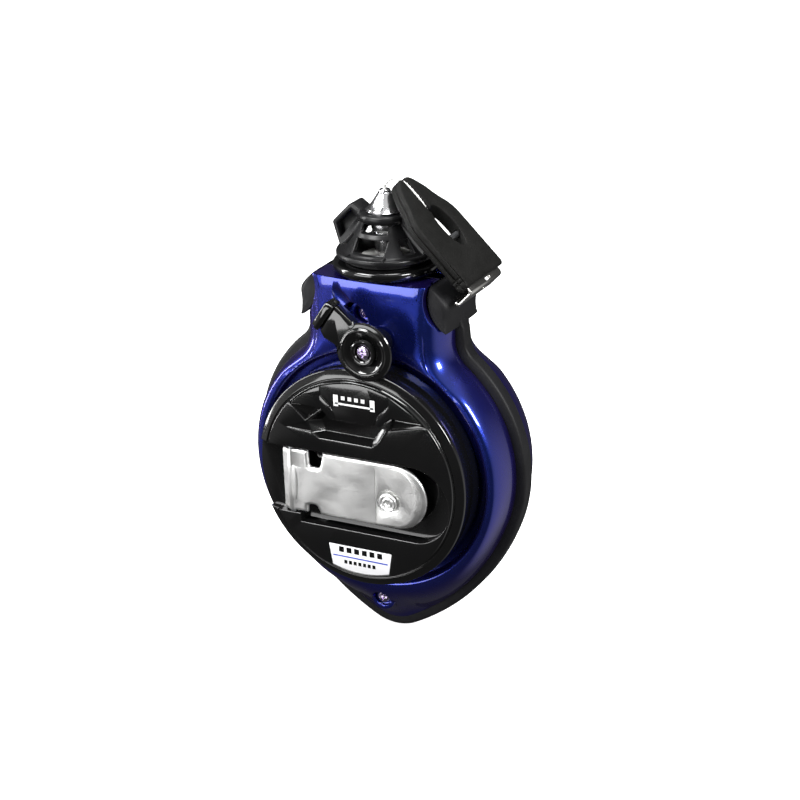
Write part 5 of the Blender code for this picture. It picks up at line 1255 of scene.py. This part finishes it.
class REEL_OT_hook(bpy.types.Operator):
    """Builds the hook's moulding and its bent steel claw"""

    bl_idname = "reel.hook"
    bl_label = "End hook"

    def execute(self, context):
        right = [
            (0.0, 2.6), (0.35, 3.7), (1.3, 4.9), (3.4, 6.5), (6.2, 8.3), (9.5, 9.7), (11.8, 11.0), (14.4, 12.8),
            (17.0, 13.9), (19.6, 14.35), (22.4, 14.4), (42.6, 14.4), (43.3, 14.1), (43.6, 13.4),
        ]
        outline = mm(right) + mm((s, -w) for s, w in reversed(right))
        thick = HOOK_THICK
        rings = []
        # The face and back edges are rounded, and a fine step runs round the side.
        for inset, depth in (
            (0.9, 0.0), (0.45, 0.08), (0.15, 0.32), (0.0, 0.7), (0.0, 2.0), (0.22, 2.15), (0.22, 2.6), (0.0, 2.75),
            (0.0, 3.8), (0.15, 4.25), (0.45, 4.52), (0.9, 4.6),
        ):
            ring = []
            for s, w in outline:
                ring.append((21.8 * MM + (s - 21.8 * MM) * (1.0 - inset / 21.8), depth * MM, w * (1.0 - inset / 14.4)))
            rings.append(ring)
        body = to_object(hooked(loft(rings)), "hook_finish")
        turns = [2.0 * math.pi * i / 72 for i in range(72)]
        window = mm((22.0 + 8.8 * math.cos(a), 2.5 + 4.4 * math.sin(a)) for a in turns)
        carve(body, hooked(slab(window, -2.0 * MM, thick + 2.0 * MM)))
        # The line's groove runs over the nose of the hook and down to the window.
        groove = slab(mm([(-3.0, -0.9), (15.0, -0.9), (15.0, 0.9), (-3.0, 0.9)]), -2.0 * MM, 2.6 * MM)
        carve(body, hooked(groove))
        carve(body, hooked(block((8.2 * MM, thick - 1.0 * MM, -5.0 * MM), (22.4 * MM, thick + 3.0 * MM, 5.0 * MM))))
        carve(body, hooked(block((35.7 * MM, 1.5 * MM, -12.3 * MM), (48.0 * MM, 3.1 * MM, 12.3 * MM))))
        carve(body, hooked(rod(1.3 * MM, -8.6 * MM, 12.0 * MM, 24, "Z", (26.0 * MM, thick / 2.0, 0.0))))
        # Two shallow grip grooves cross each side near the claw.
        for s in (39.4, 41.0):
            for side in (-1.0, 1.0):
                carve(body, hooked(rod(0.35 * MM, -1.0 * MM, thick + 1.0 * MM, 16, "Y", (s * MM, 0.0, side * 14.5 * MM))))
        round_edges(body, 0.3 * MM, 3, 38.0, 45.0)
        finish(body, "hook", "hook", ["hook_body"])
        self.claw()
        return {"FINISHED"}

    def claw(self):
        """A bent sheet with round bends, a slot by its bend and a turned-in lip."""
        near, thick = 1.8 * MM, 1.0 * MM
        far, reach, lip = 46.2 * MM, 8.2 * MM, 2.0 * MM
        bend, curl = 1.5 * MM, 1.2 * MM
        end = near + reach
        outer = [(36.0 * MM, near)] + arc((far - bend, near + bend), bend, -math.pi / 2, 0.0, 8)
        outer += arc((far - curl, end - curl), curl, 0.0, math.pi / 2, 8) + [(far - lip, end)]
        inner = [(far - lip, end - thick)] + arc((far - curl, end - curl), curl - thick * 0.95, math.pi / 2, 0.0, 8)
        inner += arc((far - bend, near + bend), bend - thick, 0.0, -math.pi / 2, 8) + [(36.0 * MM, near + thick)]
        sheet = slab(outer + inner, -12.0 * MM, 12.0 * MM)
        bmesh.ops.transform(sheet, matrix=STAND_UP, verts=sheet.verts)
        claw = to_object(hooked(sheet), "hook_claw_finish")
        carve(claw, hooked(block((44.0 * MM, near - 3.0 * MM, 0.4 * MM), (far - 1.1 * MM, near + 4.2 * MM, 3.8 * MM))))
        carve(claw, hooked(block((40.0 * MM, near + 2.6 * MM, 0.4 * MM), (far + MM, near + 5.0 * MM, 3.8 * MM))))
        round_edges(claw, 0.14 * MM, 2, 38.0, 45.0)
        finish(claw, "hook", "claw", ["hook_claw"])


# ---------------------------------------------------------------- line


def twisted(name, body, route, radius, lay, node):
    """Three strands laid round each other along a route of (x, z) points in millimetres."""
    spine = curve_through([(x * MM, 0.0, z * MM) for x, z in route], 48)
    spots = [spine[0]]
    for point in spine[1:]:
        if (point - spots[-1]).length >= lay / 9.0:
            spots.append(point)
    if (spine[-1] - spots[-1]).length > 1e-6:
        spots.append(spine[-1])
    walked = [0.0]
    for a, b in zip(spots, spots[1:]):
        walked.append(walked[-1] + (b - a).length)
    out = radius * 1.12
    bm = bmesh.new()
    for strand in range(3):
        rings = []
        for i, spot in enumerate(spots):
            tangent = (spots[min(i + 1, len(spots) - 1)] - spots[max(i - 1, 0)]).normalized()
            side = Vector((0.0, 1.0, 0.0))
            up = tangent.cross(side).normalized()
            turn = 2.0 * math.pi * (walked[i] / lay + strand / 3.0)
            centre = spot + (side * math.cos(turn) + up * math.sin(turn)) * out
            turns = [2.0 * math.pi * k / 8 for k in range(8)]
            rings.append([centre + (side * math.cos(a) + up * math.sin(a)) * radius for a in turns])
        piece = loft(rings)
        spare = bpy.data.meshes.new("strand")
        piece.to_mesh(spare)
        piece.free()
        bm.from_mesh(spare)
        bpy.data.meshes.remove(spare)
    return finish(placed(bm, name, 60.0), body, "line", [node])


class REEL_OT_line(bpy.types.Operator):
    """Lays the twisted line from the winding up through the tip and over the hook"""

    bl_idname = "reel.line"
    bl_label = "Line"

    def execute(self, context):
        trim = context.scene.reel_trim
        rise = [(0.0, 29.0), (0.0, 62.0), (0.0, 97.5), (0.3, 99.9), (1.6, 101.9), (3.8, 102.9), (6.0, 102.4)]
        twisted("line_rise", "line", rise, trim.strand, trim.lay, "snap_line")
        fall = [(6.5, 102.0), (8.24, 101.2), (10.87, 98.9), (13.65, 96.0), (15.6, 93.2), (18.0, 89.9), (21.9, 85.5)]
        twisted("line_on_hook", "hook", fall, trim.strand, trim.lay, "hook_line")
        return {"FINISHED"}


# ---------------------------------------------------------------- inside


class REEL_OT_inside(bpy.types.Operator):
    """Gives the pieces inside the case their finishes"""

    bl_idname = "reel.inside"
    bl_label = "Inside pieces"

    def execute(self, context):
        finishes = {
            "steel": [
                "axle", "carrier_plate", "planet_pin_1", "planet_pin_2", "planet_pin_3", "arm_hinge_pin", "line_anchor_pin",
                "dial_screw", "carrier_screw_1", "carrier_screw_2", "carrier_screw_3",
            ],
            "bronze": ["dial_bush", "spool_bush"],
            "resin": ["ring_gear", "sun_gear", "planet_gear_1", "planet_gear_2", "planet_gear_3"],
            "satin": ["line_spool", "spool_side_plate", "lock_pawl"],
            "band": ["neck_gasket"],
            "felt": ["felt_wiper"],
            "wound": ["line_winding"],
        }
        for finish_name, nodes in finishes.items():
            for node in nodes:
                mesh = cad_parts[node].data
                mesh.materials.clear()
                mesh.materials.append(look(finish_name))
        return {"FINISHED"}


# ---------------------------------------------------------------- stage

CAMERA_DISTANCE = 0.8


def softbox(name, spot, size, power, aim):
    """A rectangular area light that faces a point."""
    lamp = bpy.data.lights.new(name, "AREA")
    lamp.shape = "RECTANGLE"
    lamp.size, lamp.size_y = size
    lamp.energy = power
    obj = bpy.data.objects.new(name, lamp)
    obj.location = spot
    obj.rotation_euler = (Vector(aim) - Vector(spot)).to_track_quat("-Z", "Y").to_euler()
    bpy.context.scene.collection.objects.link(obj)
    return obj


class REEL_OT_stage(bpy.types.Operator):
    """Sets out the pale floor, the soft lights and the camera"""

    bl_idname = "reel.stage"
    bl_label = "Stage"

    def execute(self, context):
        settings = context.scene.reel_stage
        floor = bmesh.new()
        bmesh.ops.create_grid(floor, x_segments=1, y_segments=1, size=3.0)
        bmesh.ops.translate(floor, verts=floor.verts, vec=(0.0, 0.0, CAD_BOX[0][2] - 0.4 * MM))
        ground = to_object(floor, "floor")
        c = tuple(settings.floor)
        paper = surface("floor paper", c, [v * 0.99 for v in c], 0.7, 0.8, grain=300.0, bump=0.01, cloud=6.0)
        shader = paper.node_tree.nodes["Principled BSDF"]
        shader.inputs["Emission Color"].default_value = (1.0, 1.0, 1.0, 1.0)
        shader.inputs["Emission Strength"].default_value = settings.glow
        ground.data.materials.append(paper)
        ground.visible_glossy = False
        ground.visible_diffuse = False
        ground.visible_shadow = False

        middle = (0.0, MIDDLE_Y, 0.02)
        softbox("key", (-0.35, -0.50, 0.80), (0.45, 0.35), settings.key, middle)
        softbox("fill", (-0.45, -0.95, 0.10), (0.7, 0.5), settings.key * 0.5, middle)
        softbox("side", (0.80, -0.35, 0.45), (0.28, 0.28), settings.side, middle)
        softbox("left_strip", (-0.75, -0.20, 0.20), (0.10, 0.7), settings.side * 0.5, middle)
        softbox("top", (0.10, 0.15, 0.95), (0.5, 0.5), settings.key * 0.7, middle)
        context.scene.view_settings.view_transform = "Standard"
        self.sky()
        self.camera(context)
        return {"FINISHED"}

    def sky(self):
        """White behind the object; in its reflections a dim room with a few soft glows."""
        world = bpy.data.worlds.new("studio")
        bpy.context.scene.world = world
        world.use_nodes = True
        tree = world.node_tree
        back = tree.nodes["Background"]
        back.inputs["Color"].default_value = (1.0, 1.0, 1.0, 1.0)
        spot = tree.nodes.new("ShaderNodeTexCoord")
        total = None
        for direction, near, far, level in (
            ((0.85, 0.24, -0.46), 0.55, 1.0, 0.55),
            ((0.55, -0.30, 0.78), 0.6, 1.0, 0.5),
            ((-0.80, -0.35, 0.10), 0.7, 1.0, 0.35),
        ):
            facing = tree.nodes.new("ShaderNodeVectorMath")
            facing.operation = "DOT_PRODUCT"
            facing.inputs[1].default_value = Vector(direction).normalized()
            glow = add_node(tree, "MapRange", From_Min=near, From_Max=far, To_Max=level)
            glow.interpolation_type = "SMOOTHSTEP"
            tree.links.new(spot.outputs["Generated"], facing.inputs[0])
            tree.links.new(facing.outputs["Value"], glow.inputs["Value"])
            add = tree.nodes.new("ShaderNodeMath")
            add.inputs[1].default_value = 0.05
            tree.links.new(glow.outputs["Result"], add.inputs[0])
            if total is not None:
                tree.links.new(total, add.inputs[1])
            total = add.outputs["Value"]
        path = tree.nodes.new("ShaderNodeLightPath")
        level = tree.nodes.new("ShaderNodeMix")
        level.inputs["B"].default_value = 1.0
        tree.links.new(path.outputs["Is Camera Ray"], level.inputs["Factor"])
        tree.links.new(total, level.inputs["A"])
        tree.links.new(level.outputs["Result"], back.inputs["Strength"])

    def camera(self, context):
        """A long lens from the front right and a little above."""
        turn, lift, roll = math.radians(28.1), math.radians(23.2), math.radians(1.98)
        out = Vector((math.sin(turn) * math.cos(lift), -math.cos(turn) * math.cos(lift), math.sin(lift)))
        right = Vector((math.cos(turn), math.sin(turn), 0.0))
        up = out.cross(right)
        right, up = right * math.cos(roll) - up * math.sin(roll), right * math.sin(roll) + up * math.cos(roll)
        lens = bpy.data.cameras.new("camera")
        lens.lens = 99.45
        lens.shift_x = 0.0076
        lens.shift_y = 0.0649
        camera = bpy.data.objects.new("camera", lens)
        place = Matrix.Translation(Vector((0.0, MIDDLE_Y, 0.0)) + out * CAMERA_DISTANCE)
        camera.matrix_world = place @ Matrix((right, up, out)).transposed().to_4x4()
        context.scene.collection.objects.link(camera)
        context.scene.camera = camera


# ---------------------------------------------------------------- panel


class REEL_PT_panel(bpy.types.Panel):
    """The reel's settings and its build buttons"""

    bl_idname = "REEL_PT_panel"
    bl_label = "Chalk Line Reel"
    bl_space_type = "VIEW_3D"
    bl_region_type = "UI"
    bl_category = "Chalk Reel"

    def draw(self, context):
        scene = context.scene
        for settings in (scene.reel_case, scene.reel_trim, scene.reel_stage):
            box = self.layout.box()
            for name in settings.__annotations__:
                box.prop(settings, name)
        for operator in OPERATORS:
            self.layout.operator(operator.bl_idname)


OPERATORS = (
    REEL_OT_shells,
    REEL_OT_band,
    REEL_OT_screws,
    REEL_OT_dial,
    REEL_OT_dial_trim,
    REEL_OT_arm,
    REEL_OT_lever,
    REEL_OT_nozzle,
    REEL_OT_hook,
    REEL_OT_line,
    REEL_OT_inside,
    REEL_OT_stage,
)
SETTINGS = (ReelCaseSettings, ReelTrimSettings, ReelStageSettings)


def register():
    for item in (*SETTINGS, *OPERATORS, REEL_PT_panel):
        bpy.utils.register_class(item)
    bpy.types.Scene.reel_case = bpy.props.PointerProperty(type=ReelCaseSettings)
    bpy.types.Scene.reel_trim = bpy.props.PointerProperty(type=ReelTrimSettings)
    bpy.types.Scene.reel_stage = bpy.props.PointerProperty(type=ReelStageSettings)


def unregister():
    del bpy.types.Scene.reel_stage
    del bpy.types.Scene.reel_trim
    del bpy.types.Scene.reel_case
    for item in reversed((*SETTINGS, *OPERATORS, REEL_PT_panel)):
        bpy.utils.unregister_class(item)


def main():
    register()
    bpy.ops.reel.shells()
    bpy.ops.reel.band()
    bpy.ops.reel.screws()
    bpy.ops.reel.dial()
    bpy.ops.reel.dial_trim()
    bpy.ops.reel.arm()
    bpy.ops.reel.lever()
    bpy.ops.reel.nozzle()
    bpy.ops.reel.hook()
    bpy.ops.reel.line()
    bpy.ops.reel.inside()
    bpy.ops.reel.stage()


if __name__ == "__main__":
    main()
